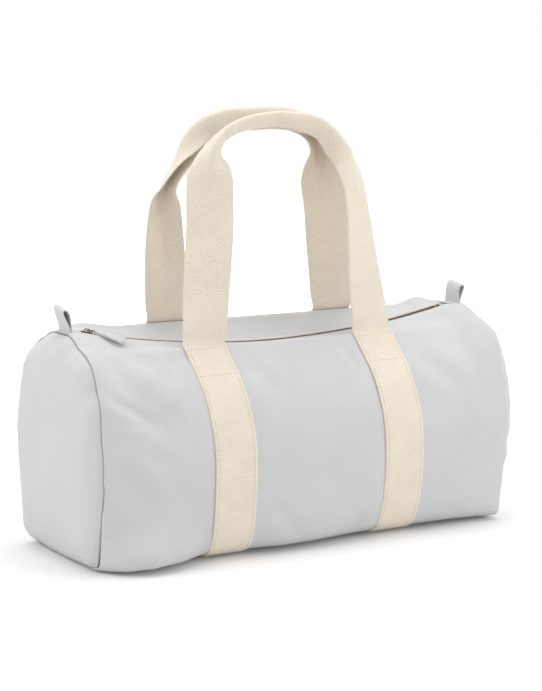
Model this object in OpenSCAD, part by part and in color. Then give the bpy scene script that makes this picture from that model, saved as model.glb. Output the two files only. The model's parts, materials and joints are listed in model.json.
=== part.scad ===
/* [Body] */
// Length between the two end seams
body_l = 500; // [430:5:560]
// Height of the bag at its end seams
body_h = 240; // [220:2:260]
// Half of the body's depth at its middle, without the straps
mid_half = 102; // [96:1:112]
// How much less deep the front half is at the left end seam
front_left_taper = 7; // [-3:1:14]
// How much less deep the front half is at the right end seam
front_right_taper = -1; // [-8:1:10]
// How much less deep the rear half is at both end seams
rear_taper = -2; // [-8:1:10]
// Thickness of the canvas
canvas_t = 1.2; // [0.8:0.1:1.6]
// How far an end panel bulges past its seam
end_bulge = 11; // [4:1:16]
// Width of the flat rim of an end panel
end_rim = 4; // [3:0.5:8]

/* [Zip] */
// How far the chain's lowest place lies below the bag's height at its end seams
zip_dip = 27; // [20:1:35]
// How far the chain climbs from there to the closed slider
chain_climb = 23; // [16:1:30]
// From the end of the zip's opening to the end seam
zip_end_gap = 16; // [12:1:24]
// From the open slider to the right end seam
slider_open_gap = 34; // [30:1:36]
// Width of one tape
tape_w = 13; // [10:1:16]
// Thickness of the tape
tape_t = 0.5; // [0.4:0.1:0.7]
// Distance from one tooth to the next in a row
tooth_pitch = 2.4; // [2:0.1:3]
// Length of a tooth across the tape
tooth_l = 2.6; // [2:0.1:3]
// Height of a tooth
tooth_h = 2.6; // [2:0.1:3]
// Gap from the middle line of the zip to a tooth
tooth_gap = 0.9; // [0.8:0.1:1.2]
// Length of the slider
slider_l = 12; // [10:0.5:14]
// Thickness of the slider's plates
plate_t = 0.9; // [0.7:0.1:1.2]
// Length of the fabric puller
puller_l = 33; // [26:1:35]
// Width of the fabric puller
puller_w = 14; // [12:1:15]
// Thickness of the fabric puller
puller_t = 2.8; // [2.4:0.1:3.4]
// Turn of the resting puller towards the front
puller_yaw = 45; // [38:1:52]
// Thickness of the puller ring's wire
wire_d = 1.3; // [1:0.1:1.5]

/* [Lips] */
// From the left end of the lips to the end seam
lip_left_gap = 72; // [68:1:80]
// From the right end of the lips to the end seam
lip_right_gap = 42; // [42:1:48]
// Distance from the middle line of the zip to the canvas edge
lip_edge_y = 6.6; // [6.4:0.1:9]

/* [Webbing] */
// Width of the webbing
web_w = 50; // [40:1:56]
// Thickness of the webbing
web_t = 2; // [1.6:0.1:2.4]
// Place of a strap's middle, as a share of the way from the bag's middle to its end seam
strap_share = 0.422; // [0.36:0.002:0.48]
// Length of the front handle from its stitches to its top
front_handle_h = 240; // [215:1:250]
// Length of the rear handle from its stitches to its top
rear_handle_h = 230; // [205:1:240]
// Length of a handle's legs below the place where they bend
leg_h = 120; // [110:1:125]
// Half the distance between the front handle's bends
front_bend_x = 92; // [84:1:104]
// Half the distance between the rear handle's bends
rear_bend_x = 99; // [88:1:104]
// Distance from the middle of the bag to a handle's middle line at its top
handle_top_y = 17; // [16:0.5:22]
// Sideways shift of the front handle's top
front_shift = -2.5; // [-8:0.5:8]
// Sideways shift of the rear handle's top
rear_shift = -10; // [-14:0.5:8]

/* [Tabs] */
// Width of a tab
tab_w = 28; // [22:1:34]
// Thickness of the tab's webbing
tab_t = 1.4; // [1:0.1:2]
// Gap inside a tab's loop
tab_gap = 5; // [4.6:0.1:7]
// Height of the left tab
left_tab_h = 27; // [22:1:32]
// Height of the right tab
right_tab_h = 23; // [20:1:30]

/* [Hidden] */

canvas_color = "#d8d9da";
end_color = "#dfe0e1";
web_color = "#efe4cf";
metal_color = "#6e5636";

$fn = 32;
half_l = body_l / 2;
// Distances from the middle of the bag
flap_x = half_l - zip_end_gap;
slider_closed_x = flap_x - slider_l;
slider_open_x = half_l - slider_open_gap;
lip_left_x = half_l - lip_left_gap;
lip_right_x = half_l - lip_right_gap;
strap_x = half_l * strap_share;
// Clearance between soft pieces that lie on each other
soft_gap = 0.2;
// Clearance between soft pieces that move past each other
move_gap = 0.3;
// Height of the canvas base, which lies on the straps
base_z = web_t + soft_gap;
body_rise = body_h - base_z;

// Outline of the body's front and rear, from the base's edge up to the fold at the handles.
// Each pair is a share of the half depth and a share of the height.
end_shares = [[0.85, 0], [0.90, 0.17], [0.97, 0.32], [1.00, 0.46], [0.97, 0.60], [0.89, 0.75],
    [0.79, 0.86], [0.63, 0.92], [0.41, 0.955]];
front_mid_shares = [[0.79, 0], [0.91, 0.10], [0.98, 0.22], [1.00, 0.38], [0.97, 0.51],
    [0.87, 0.64], [0.74, 0.74], [0.57, 0.83], [0.40, 0.912]];
rear_mid_shares = [[0.79, 0], [0.91, 0.10], [0.98, 0.22], [1.00, 0.38], [0.98, 0.54],
    [0.90, 0.69], [0.78, 0.81], [0.61, 0.91], [0.40, 0.985]];
last = len(end_shares) - 1;
// How sharply the belly flattens towards the middle of the bag
belly_power = 2.5;
// Points on each side of the outline, and along the base
side_steps = 14;
base_steps = 4;

function lerp(a, b, t) = a + (b - a) * t;
function smooth(t) = let (c = max(0, min(1, t))) c * c * (3 - 2 * c);

// A smooth curve through the points p, where u runs from 0 to the last point's index
function curve(p, u) =
    let (n = len(p) - 1, i = max(0, min(n - 1, floor(u))), f = u - i,
        a = p[max(0, i - 1)], b = p[i], c = p[i + 1], d = p[min(n, i + 2)])
    b + f / 2 * ((c - a) + f * ((2 * a - 5 * b + 4 * c - d) + f * (3 * b - a - 3 * c + d)));

// Share of the middle's outline that shows at x, low on the body and at the folds
function belly(x) = 1 - pow(min(1, abs(x) / half_l), belly_power);
function fold(x) = 1 - smooth((abs(x) - lip_right_x) / (half_l - lip_right_x));

// Point [y, z] of the outline at x, where side is -1 at the front and 1 at the rear
function outline(x, side, u) =
    let (e = curve(end_shares, u),
        m = curve(side < 0 ? front_mid_shares : rear_mid_shares, u),
        w = lerp(belly(x), fold(x), pow(u / last, 2)),
        front_taper = lerp(front_left_taper, front_right_taper, (x + half_l) / body_l),
        end_half = mid_half - (side < 0 ? front_taper : rear_taper))
    [side * lerp(e[0] * end_half, m[0] * mid_half, w),
        base_z + body_rise * lerp(e[1], m[1], w)];

// The girth runs from the front fold down, under the base and up to the rear fold.
// Each entry is a side and a place on it, and side 0 is the base.
girth = concat([for (i = [side_steps : -1 : 0]) [-1, last * i / side_steps]],
    [for (i = [1 : base_steps - 1]) [0, i / base_steps]],
    [for (i = [0 : side_steps]) [1, last * i / side_steps]]);
function girth_point(x, g) = g[0] == 0
    ? lerp(outline(x, -1, 0), outline(x, 1, 0), g[1]) : outline(x, g[0], g[1]);

// The chain is an arc that sags between the ends of the bag
chain_low_z = body_h - zip_dip;
chain_r = (pow(slider_closed_x, 2) + pow(chain_climb, 2)) / (2 * chain_climb);
chain_center_z = chain_low_z + chain_r;
function chain_z(x) = chain_center_z - sqrt(pow(chain_r, 2) - x * x);
function chain_angle(x) = asin(x / chain_r);
module on_chain(x) {
    translate([0, 0, chain_center_z]) rotate([0, -chain_angle(x), 0])
        translate([0, 0, -chain_r]) children();
}

// The slider's channel and the canvas beside it
plate_z = tooth_h / 2 + move_gap;
plate_top = plate_z + plate_t;
plate_w = 2 * (tooth_gap + tooth_l) + 2 * move_gap;
// Thickness of the plates' turned edges
flange_t = 0.6;
// Where the tapes end, as a share of the way from the slider to the end of the opening
zip_end_share = 0.7;
zip_end_x = slider_closed_x + slider_l * zip_end_share;
function canvas_edge_z(x) =
    let (lift = tape_t / 2 + soft_gap + canvas_t)
    abs(x) <= flap_x ? chain_z(x) + lift
    : lerp(chain_z(flap_x) + lift, body_h, (abs(x) - flap_x) / (half_l - flap_x));

// Point [y, z] of the top canvas, where v runs from the fold at 0 to the tape's outer edge at 1.
// From there to the canvas edge at 2 the canvas lies flat on the tape.
// The canvas rises by the crown at the end seams, and sags between the handles
top_crown = 1.6;
top_sag = 1;
// How far a tooth reaches over its tape
tooth_grip = 1;
tape_in = tooth_gap + tooth_l - tooth_grip;
flat_y = tape_in + tape_w + soft_gap;
function top_point(x, side, v) =
    let (a = outline(x, side, last), b = [side * flat_y, canvas_edge_z(x)],
        p = lerp(a, b, min(v, 1)))
    v > 1 ? [side * lerp(flat_y, lip_edge_y, v - 1), canvas_edge_z(x)]
    : [p[0], p[1] + lerp(top_crown, -top_sag, fold(x)) * sin(180 * v)];

// Places along the bag at which its cross sections are drawn
strap_in = strap_x - web_w / 2;
strap_out = strap_x + web_w / 2;
// Width of the binding inside an end seam
binding_w = 11;
half_places = [strap_in / 2, strap_in, strap_x, strap_out, (strap_out + lip_left_x) / 2,
    lip_left_x, lip_right_x, flap_x, half_l - binding_w, half_l];
body_places = concat([for (i = [len(half_places) - 1 : -1 : 0]) -half_places[i]], [0],
    half_places);

// Each row of points [y, z] is offset outwards by d. Where a row ends at a fold, it is cut
// upright, and folds counts those ends, from the row's first point on.
function unit(v) = v / norm(v);
function row_normal(row, j, turn, folds) =
    let (t = row[min(len(row) - 1, j + 1)] - row[max(0, j - 1)])
    (folds > 0 && j == 0) || (folds == 2 && j == len(row) - 1) ? [0, 1]
    : turn * unit([-t[1], t[0]]);
function offset_row(x, row, d, turn, folds) = [for (j = [0 : len(row) - 1])
    let (p = row[j] + d * row_normal(row, j, turn, folds)) [x, p[0], p[1]]];

function join(lists) = [for (a = lists, b = a) b];
function quad(a, b, c, d, flip) = flip ? [[a, c, b], [a, d, c]] : [[a, b, c], [a, c, d]];

// A closed sheet between two grids of points with the same rows
module sheet(outer, inner, flip = false) {
    n = len(outer);
    m = len(outer[0]);
    function o(i, j) = i * m + j;
    function k(i, j) = n * m + i * m + j;
    polyhedron(points = concat(join(outer), join(inner)), faces = concat(
        join([for (i = [0 : n - 2], j = [0 : m - 2])
            concat(quad(o(i, j), o(i, j + 1), o(i + 1, j + 1), o(i + 1, j), flip),
                quad(k(i, j), k(i + 1, j), k(i + 1, j + 1), k(i, j + 1), flip))]),
        join([for (i = [0 : n - 2])
            concat(quad(k(i, 0), o(i, 0), o(i + 1, 0), k(i + 1, 0), flip),
                quad(k(i, m - 1), k(i + 1, m - 1), o(i + 1, m - 1), o(i, m - 1), flip))]),
        join([for (j = [0 : m - 2])
            concat(quad(k(0, j), k(0, j + 1), o(0, j + 1), o(0, j), flip),
                quad(k(n - 1, j), o(n - 1, j), o(n - 1, j + 1), k(n - 1, j + 1), flip))])),
        convexity = 6);
}

// Cloth along the girth, from d0 to d1 outside the canvas's outer face
module girth_sheet(places, rows, d0, d1, folds = 2) {
    function rows_at(d) =
        [for (x = places) offset_row(x, [for (g = rows) girth_point(x, g)], d, -1, folds)];
    sheet(rows_at(d1), rows_at(d0), true);
}

// Cloth of the top, between the fold and the zip, with its outer face on the top points
top_shares = [0, 0.3, 0.65, 1, 2];
top_count = len(top_shares);
module top_sheet(places, side, start_gap) {
    function row(x) = [for (v = top_shares)
        let (p = top_point(x, side, v)) v == 0 ? p - [side * start_gap, 0] : p];
    function rows_at(d) = [for (x = places) offset_row(x, row(x), d, -side, 1)];
    sheet(rows_at(0), rows_at(-canvas_t), side > 0);
}

module barrel_panel() {
    color(canvas_color) girth_sheet(body_places, girth, -canvas_t, 0);
}

// The closed outline of an end seam: the girth, then the top from the rear to the front
function end_outline(x) = concat([for (g = girth) girth_point(x, g)],
    [for (j = [1 : top_count - 1]) top_point(x, 1, top_shares[j])],
    [for (j = [top_count - 1 : -1 : 1]) top_point(x, -1, top_shares[j])]);

// Rings of an end panel as shares of its outline, with the share of the bulge at each
ring_shares = [[0.93, 0.22], [0.82, 0.52], [0.64, 0.80], [0.40, 0.95]];
module end_panel(side) {
    rim = end_outline(side * half_l);
    m = len(rim);
    center = [0, body_h / 2];
    rim_share = 1 - end_rim / (body_h / 2);
    rings = concat([[1, 0], [rim_share, 0]], [for (r = ring_shares) [r[0] * rim_share, r[1]]]);
    n = len(rings);
    function ring(r, t) = [for (p = rim) let (q = lerp(center, p, r[0]))
        [side * (half_l + t + r[1] * end_bulge), q[0], q[1]]];
    function tip(t) = [side * (half_l + t + end_bulge), center[0], center[1]];
    function o(i, j) = i * m + (j % m);
    function k(i, j) = n * m + i * m + (j % m);
    flip = side > 0;
    polyhedron(points = concat(join([for (r = rings) ring(r, canvas_t)]),
        join([for (r = rings) ring(r, 0)]), [tip(canvas_t), tip(0)]),
        faces = concat(
            join([for (i = [0 : n - 2], j = [0 : m - 1])
                concat(quad(o(i, j), o(i, j + 1), o(i + 1, j + 1), o(i + 1, j), flip),
                    quad(k(i, j), k(i + 1, j), k(i + 1, j + 1), k(i, j + 1), flip))]),
            join([for (j = [0 : m - 1])
                quad(k(0, j), k(0, j + 1), o(0, j + 1), o(0, j), flip)]),
            [for (j = [0 : m - 1]) flip ? [o(n - 1, j + 1), o(n - 1, j), 2 * n * m]
                : [o(n - 1, j), o(n - 1, j + 1), 2 * n * m]],
            [for (j = [0 : m - 1]) flip ? [k(n - 1, j), k(n - 1, j + 1), 2 * n * m + 1]
                : [k(n - 1, j + 1), k(n - 1, j), 2 * n * m + 1]]),
        convexity = 6);
}
module left_end_panel() {
    color(end_color) end_panel(-1);
}
module right_end_panel() {
    color(end_color) end_panel(1);
}

// The binding lies inside the barrel panel along the end seam
binding_t = 1;
module end_binding(side) {
    d = -canvas_t - soft_gap;
    places = side < 0 ? [-half_l, binding_w - half_l] : [half_l - binding_w, half_l];
    girth_sheet(places, girth, d - binding_t, d);
}
module left_end_binding() {
    color(end_color) end_binding(-1);
}
module right_end_binding() {
    color(end_color) end_binding(1);
}

// A girth strap goes from the front fold under the base to the rear fold
module strap(side) {
    x = side * strap_x;
    girth_sheet([x - web_w / 2, x, x + web_w / 2], girth, soft_gap, soft_gap + web_t);
}
module left_strap() {
    color(web_color) strap(-1);
}
module right_strap() {
    color(web_color) strap(1);
}

// Rows of stitching across each strap, under the handle, at steps of the outline
stitch_t = 0.5;
stitch_w = 1.4;
// From the end of a row of stitching to the strap's edge
stitch_margin = 3;
stitch_steps = [13, 10];
module strap_stitches() {
    d = 2 * soft_gap + web_t;
    du = stitch_w / (body_rise / last);
    w = web_w / 2 - stitch_margin;
    color(web_color) for (x = [-strap_x, strap_x], side = [-1, 1], step = stitch_steps) {
        u = last * step / side_steps;
        rows = [for (i = side < 0 ? [1, 0] : [0, 1]) [side, u + i * du]];
        girth_sheet([x - w, x, x + w], rows, d, d + stitch_t, 0);
    }
}

// The canvas that closes the top past each end of the zip
module end_flap(side) {
    function row(x) = concat([for (j = [0 : top_count - 1]) top_point(x, -1, top_shares[j])],
        [for (j = [top_count - 1 : -1 : 0]) top_point(x, 1, top_shares[j])]);
    places = [half_l, half_l - binding_w, flap_x];
    function rows_at(d) = [for (i = side < 0 ? [0 : 2] : [2 : -1 : 0])
        offset_row(side * places[i], row(side * places[i]), d, 1, 2)];
    sheet(rows_at(0), rows_at(-canvas_t));
}
module left_end_flap() {
    color(canvas_color) end_flap(-1);
}
module right_end_flap() {
    color(canvas_color) end_flap(1);
}

// The fixed canvas beside the ends of the zip
left_top_places = [-flap_x + soft_gap, -lip_right_x, -lip_left_x - move_gap];
right_top_places = [lip_right_x + move_gap, flap_x - soft_gap];
module left_front_top() {
    color(canvas_color) top_sheet(left_top_places, -1, soft_gap);
}
module left_rear_top() {
    color(canvas_color) top_sheet(left_top_places, 1, soft_gap);
}
module right_front_top() {
    color(canvas_color) top_sheet(right_top_places, -1, soft_gap);
}
module right_rear_top() {
    color(canvas_color) top_sheet(right_top_places, 1, soft_gap);
}

// The lips open the bag on each side of the zip
lip_places = [-lip_left_x, -strap_out, -strap_x, -strap_in, -strap_in / 2, 0, strap_in / 2,
    strap_in, strap_x, strap_out, (strap_out + lip_right_x) / 2, lip_right_x];
module front_lip() {
    color(canvas_color) top_sheet(lip_places, -1, move_gap);
}
module rear_lip() {
    color(canvas_color) top_sheet(lip_places, 1, move_gap);
}

// A loop of webbing that stands on the end flap, with its slot across the bag
// From a tab to the end seam
tab_seam = 2;
module tab(side, h) {
    outer_r = tab_gap / 2 + tab_t;
    floor_z = body_h + soft_gap;
    translate([side * (half_l - outer_r - tab_seam), tab_w / 2, floor_z])
        rotate([90, 0, 0]) linear_extrude(tab_w) difference() {
            union() {
                translate([-outer_r, 0]) square([2 * outer_r, h - outer_r]);
                translate([0, h - outer_r]) circle(outer_r);
            }
            translate([-tab_gap / 2, tab_t]) square([tab_gap, h - outer_r - tab_t]);
            translate([0, h - outer_r]) circle(tab_gap / 2);
        }
}
module left_tab() {
    color(canvas_color) tab(-1, left_tab_h);
}
module right_tab() {
    color(canvas_color) tab(1, right_tab_h);
}

// A tape bends round the same centre as the chain, between two places along the bag
module tape(side, x0, x1) {
    a0 = chain_angle(x0);
    a1 = chain_angle(x1);
    translate([0, 0, chain_center_z]) rotate([90, 0, 0]) rotate([0, 0, a0 - 90])
        rotate_extrude(angle = a1 - a0, $fn = 128)
            translate([chain_r - tape_t / 2, side < 0 ? tape_in : -tape_in - tape_w])
                square([tape_t, tape_w]);
}
// Width of a tooth as a share of the pitch, and height of its slot for the tape
tooth_share = 0.5;
tape_slot = tape_t + soft_gap / 2;
// Where the first tooth of the front and of the rear row lies, as a share of the pitch
front_start_share = 0.5;
rear_start_share = 1;
// One row of teeth, which starts at x0 and goes towards x1
module teeth(side, x0, x1) {
    start = chain_angle(x0);
    reach = chain_angle(x1) - start;
    step = sign(reach) * tooth_pitch / chain_r * 180 / PI;
    count = floor(reach / step - rear_start_share + front_start_share);
    shift = side < 0 ? front_start_share : rear_start_share;
    // A tooth grips the tape's edge between an upper and a lower half
    tooth_w = tooth_pitch * tooth_share;
    leg_l = tape_in - tooth_gap;
    for (i = [0 : count - 1])
        translate([0, 0, chain_center_z]) rotate([0, -start - (i + shift) * step, 0])
            translate([-tooth_w / 2, side < 0 ? -tooth_gap - tooth_l : tooth_gap, -chain_r])
                difference() {
                    translate([0, 0, -tooth_h / 2]) cube([tooth_w, tooth_l, tooth_h]);
                    translate([-tooth_w, side < 0 ? -leg_l : leg_l, -tape_slot / 2])
                        cube([3 * tooth_w, tooth_l, tape_slot]);
                }
}
module left_zip_tapes() {
    color(canvas_color) for (side = [-1, 1])
        tape(side, -zip_end_x, -lip_left_x - move_gap);
}
module right_zip_tapes() {
    color(canvas_color) for (side = [-1, 1]) tape(side, lip_right_x + move_gap, zip_end_x);
}
module front_tape() {
    color(canvas_color) tape(-1, -lip_left_x, lip_right_x);
}
module rear_tape() {
    color(canvas_color) tape(1, -lip_left_x, lip_right_x);
}
chain_left_x = slider_closed_x + slider_l / 2;
chain_right_x = slider_open_x + slider_l / 2 + tooth_pitch / 2;
module left_zip_teeth() {
    color(metal_color) for (side = [-1, 1]) teeth(side, -lip_left_x, -chain_left_x);
}
module right_zip_teeth() {
    color(metal_color) for (side = [-1, 1]) teeth(side, lip_right_x, chain_right_x);
}
module front_teeth() {
    color(metal_color) teeth(-1, -lip_left_x, lip_right_x);
}
module rear_teeth() {
    color(metal_color) teeth(1, -lip_left_x, lip_right_x);
}

// Stops at both ends of the chain keep the slider on it
stop_l = 2;
stop_x = slider_closed_x + slider_l / 2 + move_gap + stop_l / 2;
module zip_stop(y0, y1) {
    difference() {
        translate([-stop_l / 2, y0, -tooth_h / 2]) cube([stop_l, y1 - y0, tooth_h]);
        for (side = [-1, 1])
            translate([-stop_l, side < 0 ? -tape_in - tooth_l : tape_in, -tape_slot / 2])
                cube([2 * stop_l, tooth_l, tape_slot]);
    }
}
module top_stops() {
    y = tooth_gap + tooth_l;
    color(metal_color) on_chain(-stop_x) {
        zip_stop(-y, -tooth_gap);
        zip_stop(tooth_gap, y);
    }
}
module bottom_stop() {
    y = tooth_gap + tooth_l;
    color(metal_color) on_chain(chain_right_x + stop_l) zip_stop(-y, y);
}

// The slider holds the chain between two plates, and its bridge holds the ring
bridge_w = 1.6;
bridge_post = 1.1;
// Room for the ring to turn under the bridge
ring_play = 0.7;
bridge_gap = wire_d + ring_play;
ring_z = plate_top + bridge_gap / 2;
module slider_body() {
    color(metal_color) on_chain(-slider_closed_x) {
        for (s = [-1, 1]) {
            translate([-slider_l / 2, -plate_w / 2 - flange_t, s > 0 ? plate_z : -plate_top])
                cube([slider_l, plate_w + 2 * flange_t, plate_t]);
            for (t = [-1, 1])
                translate([-slider_l / 2, t > 0 ? plate_w / 2 : -plate_w / 2 - flange_t,
                    s > 0 ? tape_t / 2 + move_gap : -plate_z])
                    cube([slider_l, flange_t, plate_z - tape_t / 2 - move_gap]);
        }
        // The wedge that parts the two rows of teeth
        translate([-slider_l / 2, move_gap - tooth_gap, -plate_z])
            cube([slider_l, 2 * (tooth_gap - move_gap), 2 * plate_z]);
        post_x = wire_d + bridge_post;
        for (s = [-1, 1])
            translate([s > 0 ? post_x : -post_x - bridge_post, -bridge_w / 2, plate_top])
                cube([bridge_post, bridge_w, bridge_gap + bridge_post]);
        translate([-post_x, -bridge_w / 2, plate_top + bridge_gap])
            cube([2 * post_x, bridge_w, bridge_post]);
    }
}

// The ring passes under the bridge, and its far side carries the fabric puller
ring_l = 8;
ring_w = 9;
// Slope of the resting puller
ring_rise = 5;
// The cross bar, and how far its ends stand past the ring
bar_d = 2;
bar_end = 1;
module at_ring() {
    on_chain(-slider_closed_x) translate([0, 0, ring_z]) rotate([0, 0, -puller_yaw])
        rotate([0, -ring_rise, 0]) children();
}
module wire(a, b, d) {
    v = b - a;
    translate(a) rotate([0, acos(v[2] / norm(v)), atan2(v[1], v[0])])
        cylinder(h = norm(v), d = d);
}
module puller_ring() {
    y = ring_w / 2;
    color(metal_color) at_ring() {
        for (s = [-1, 1]) {
            translate([0, s * y, 0]) sphere(d = wire_d);
            wire([0, s * y, 0], [ring_l, s * y, 0], wire_d);
        }
        wire([0, -y, 0], [0, y, 0], wire_d);
        wire([ring_l, -y - bar_end, 0], [ring_l, y + bar_end, 0], bar_d);
    }
}
module puller_tab() {
    bore_d = bar_d + soft_gap / 2;
    end_r = puller_w / 3;
    fold_in = bar_d;
    neck_w = ring_w - wire_d - 2 * move_gap;
    neck_l = wire_d + bar_d;
    color(canvas_color) at_ring() translate([ring_l, 0, 0]) difference() {
        union() {
            rotate([90, 0, 0]) translate([0, 0, -neck_w / 2])
                cylinder(h = neck_w, d = puller_t);
            translate([0, -neck_w / 2, -puller_t / 2]) cube([neck_l, neck_w, puller_t]);
            translate([fold_in, 0, -puller_t / 2]) linear_extrude(puller_t) {
                translate([0, -puller_w / 2]) square([puller_l - end_r - fold_in, puller_w]);
                translate([0, end_r - puller_w / 2])
                    square([puller_l - fold_in, puller_w - 2 * end_r]);
                for (s = [-1, 1])
                    translate([puller_l - end_r - fold_in, s * (puller_w / 2 - end_r)])
                        circle(end_r);
            }
        }
        rotate([90, 0, 0]) translate([0, 0, -puller_w])
            cylinder(h = 2 * puller_w, d = bore_d);
    }
}

// Middle line of a handle above its bends, from a bend to the top. Each pair is a share of
// half the distance between the bends and a share of the height above them.
front_arch_shares = [[0.97, 0.36], [0.94, 0.57], [0.87, 0.77], [0.68, 0.905], [0.37, 0.98],
    [0, 1]];
rear_arch_shares = [[0.965, 0.20], [0.895, 0.42], [0.80, 0.65], [0.63, 0.86], [0.35, 0.975],
    [0, 1]];
// Where a leg's own middle point lies, as a share of the way to its bend
leg_mid_share = 0.48;
bend_index = 2;
top_index = bend_index + len(front_arch_shares);
// Where along those points the webbing starts and ends its fold and its turn, and by how much
fold_start = 3;
fold_end = 6;
turn_start = 3.4;
turn_end = 6.8;
fold_angle = 80;
turn_angle = 90;
// Distance between the folded layers' middles at the ridge
ridge_half = web_t / 2 + 2 * soft_gap;
// Columns across the webbing, as shares of its half width
column_shares = [-1, -0.66, -0.33, -0.1, 0.1, 0.33, 0.66, 1];
// Step along the path that gives its direction
path_step = 0.05;

// A handle is [its length, half the distance between its bends, its shift, its arch]
front_handle = [front_handle_h, front_bend_x, front_shift, front_arch_shares];
rear_handle = [rear_handle_h, rear_bend_x, rear_shift, rear_arch_shares];
function path_point(s, handle) =
    let (t = s <= top_index ? s : 2 * top_index - s, hand = s <= top_index ? -1 : 1,
        rise = handle[0] - web_w / 4, bend_x = handle[1],
        p = curve(concat([[strap_x, 0],
            [lerp(strap_x, bend_x, leg_mid_share), leg_h * leg_mid_share], [bend_x, leg_h]],
            [for (a = handle[3]) [bend_x * a[0], lerp(leg_h, rise, a[1])]]), t))
    [hand * p[0] + handle[2] * p[1] / rise, p[1]];

// The two faces of the webbing at s, as rows [x, y, z] with y away from the other handle.
// A foot ends level, where the strap goes on.
function web_rows(s, handle, ahead) =
    let (t = s <= top_index ? s : 2 * top_index - s,
        c = path_point(s, handle),
        d = s == 0 ? [0, 1] : s == 2 * top_index ? [0, -1]
            : unit(path_point(min(s + path_step, 2 * top_index), handle)
                - path_point(max(s - path_step, 0), handle)),
        along = [d[0], 0, d[1]], up = [-d[1], 0, d[0]],
        fold = fold_angle * smooth((t - fold_start) / (fold_end - fold_start)),
        turn = turn_angle * smooth((t - turn_start) / (turn_end - turn_start)),
        face = [0, -cos(turn), 0] + sin(turn) * up,
        wide = cos(turn) * up + [0, sin(turn), 0],
        mid = [c[0], 0, c[1]] + ahead * along + face * (web_w / 4 * sin(fold)))
    [for (k = [1, -1]) [for (w = column_shares)
        let (g = w > 0 ? 1 : -1, r = abs(w) * web_w / 2,
            out = face * cos(fold) + wide * (g * sin(fold)))
        mid + wide * (g * (r * cos(fold) + ridge_half * sin(fold)))
            - face * (r * sin(fold)) + out * (k * web_t / 2)]];

// Webbing of a handle between two places on its path
module handle_web(s0, s1, n, handle, gap0, gap1) {
    rows = [for (i = [0 : n])
        web_rows(lerp(s0, s1, i / n), handle, i == 0 ? gap0 : i == n ? -gap1 : 0)];
    sheet([for (r = rows) r[0]], [for (r = rows) r[1]]);
}

// Where the front and the rear handle leave their straps
front_fold = outline(strap_x, -1, last);
rear_fold = outline(strap_x, 1, last);
foot_out = soft_gap + web_t;
foot_z = foot_out + soft_gap;
function lean(fold_y, h) = asin((abs(fold_y) + foot_out / 2 - handle_top_y) / h);
module place_front() {
    translate([0, front_fold[0] - foot_out / 2, front_fold[1] + foot_z])
        rotate([-lean(front_fold[0], front_handle_h), 0, 0]) children();
}
module place_rear() {
    translate([0, rear_fold[0] + foot_out / 2, rear_fold[1] + foot_z])
        rotate([lean(rear_fold[0], rear_handle_h), 0, 0]) mirror([0, 1, 0]) children();
}
leg_steps = 4;
grip_steps = 34;
module leg(side, handle) {
    if (side < 0) handle_web(0, bend_index, leg_steps, handle, 0, move_gap / 2);
    else handle_web(2 * top_index - bend_index, 2 * top_index, leg_steps, handle,
        move_gap / 2, 0);
}
module grip(handle) {
    handle_web(bend_index, 2 * top_index - bend_index, grip_steps, handle,
        move_gap / 2, move_gap / 2);
}
module front_left_leg() {
    color(web_color) place_front() leg(-1, front_handle);
}
module front_right_leg() {
    color(web_color) place_front() leg(1, front_handle);
}
module front_grip() {
    color(web_color) place_front() grip(front_handle);
}
module rear_left_leg() {
    color(web_color) place_rear() leg(-1, rear_handle);
}
module rear_right_leg() {
    color(web_color) place_rear() leg(1, rear_handle);
}
module rear_grip() {
    color(web_color) place_rear() grip(rear_handle);
}

barrel_panel();
left_end_panel();
right_end_panel();
left_end_binding();
right_end_binding();
left_strap();
right_strap();
strap_stitches();
left_end_flap();
right_end_flap();
left_front_top();
left_rear_top();
right_front_top();
right_rear_top();
left_tab();
right_tab();
left_zip_tapes();
right_zip_tapes();
left_zip_teeth();
right_zip_teeth();
top_stops();
bottom_stop();
front_lip();
rear_lip();
front_tape();
rear_tape();
front_teeth();
rear_teeth();
slider_body();
puller_ring();
puller_tab();
front_left_leg();
front_right_leg();
front_grip();
rear_left_leg();
rear_right_leg();
rear_grip();
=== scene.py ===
import json
import math

import bmesh
import bpy
import numpy as np
from bpy.props import FloatProperty, FloatVectorProperty, IntProperty, PointerProperty
from mathutils import Matrix, Vector

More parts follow.
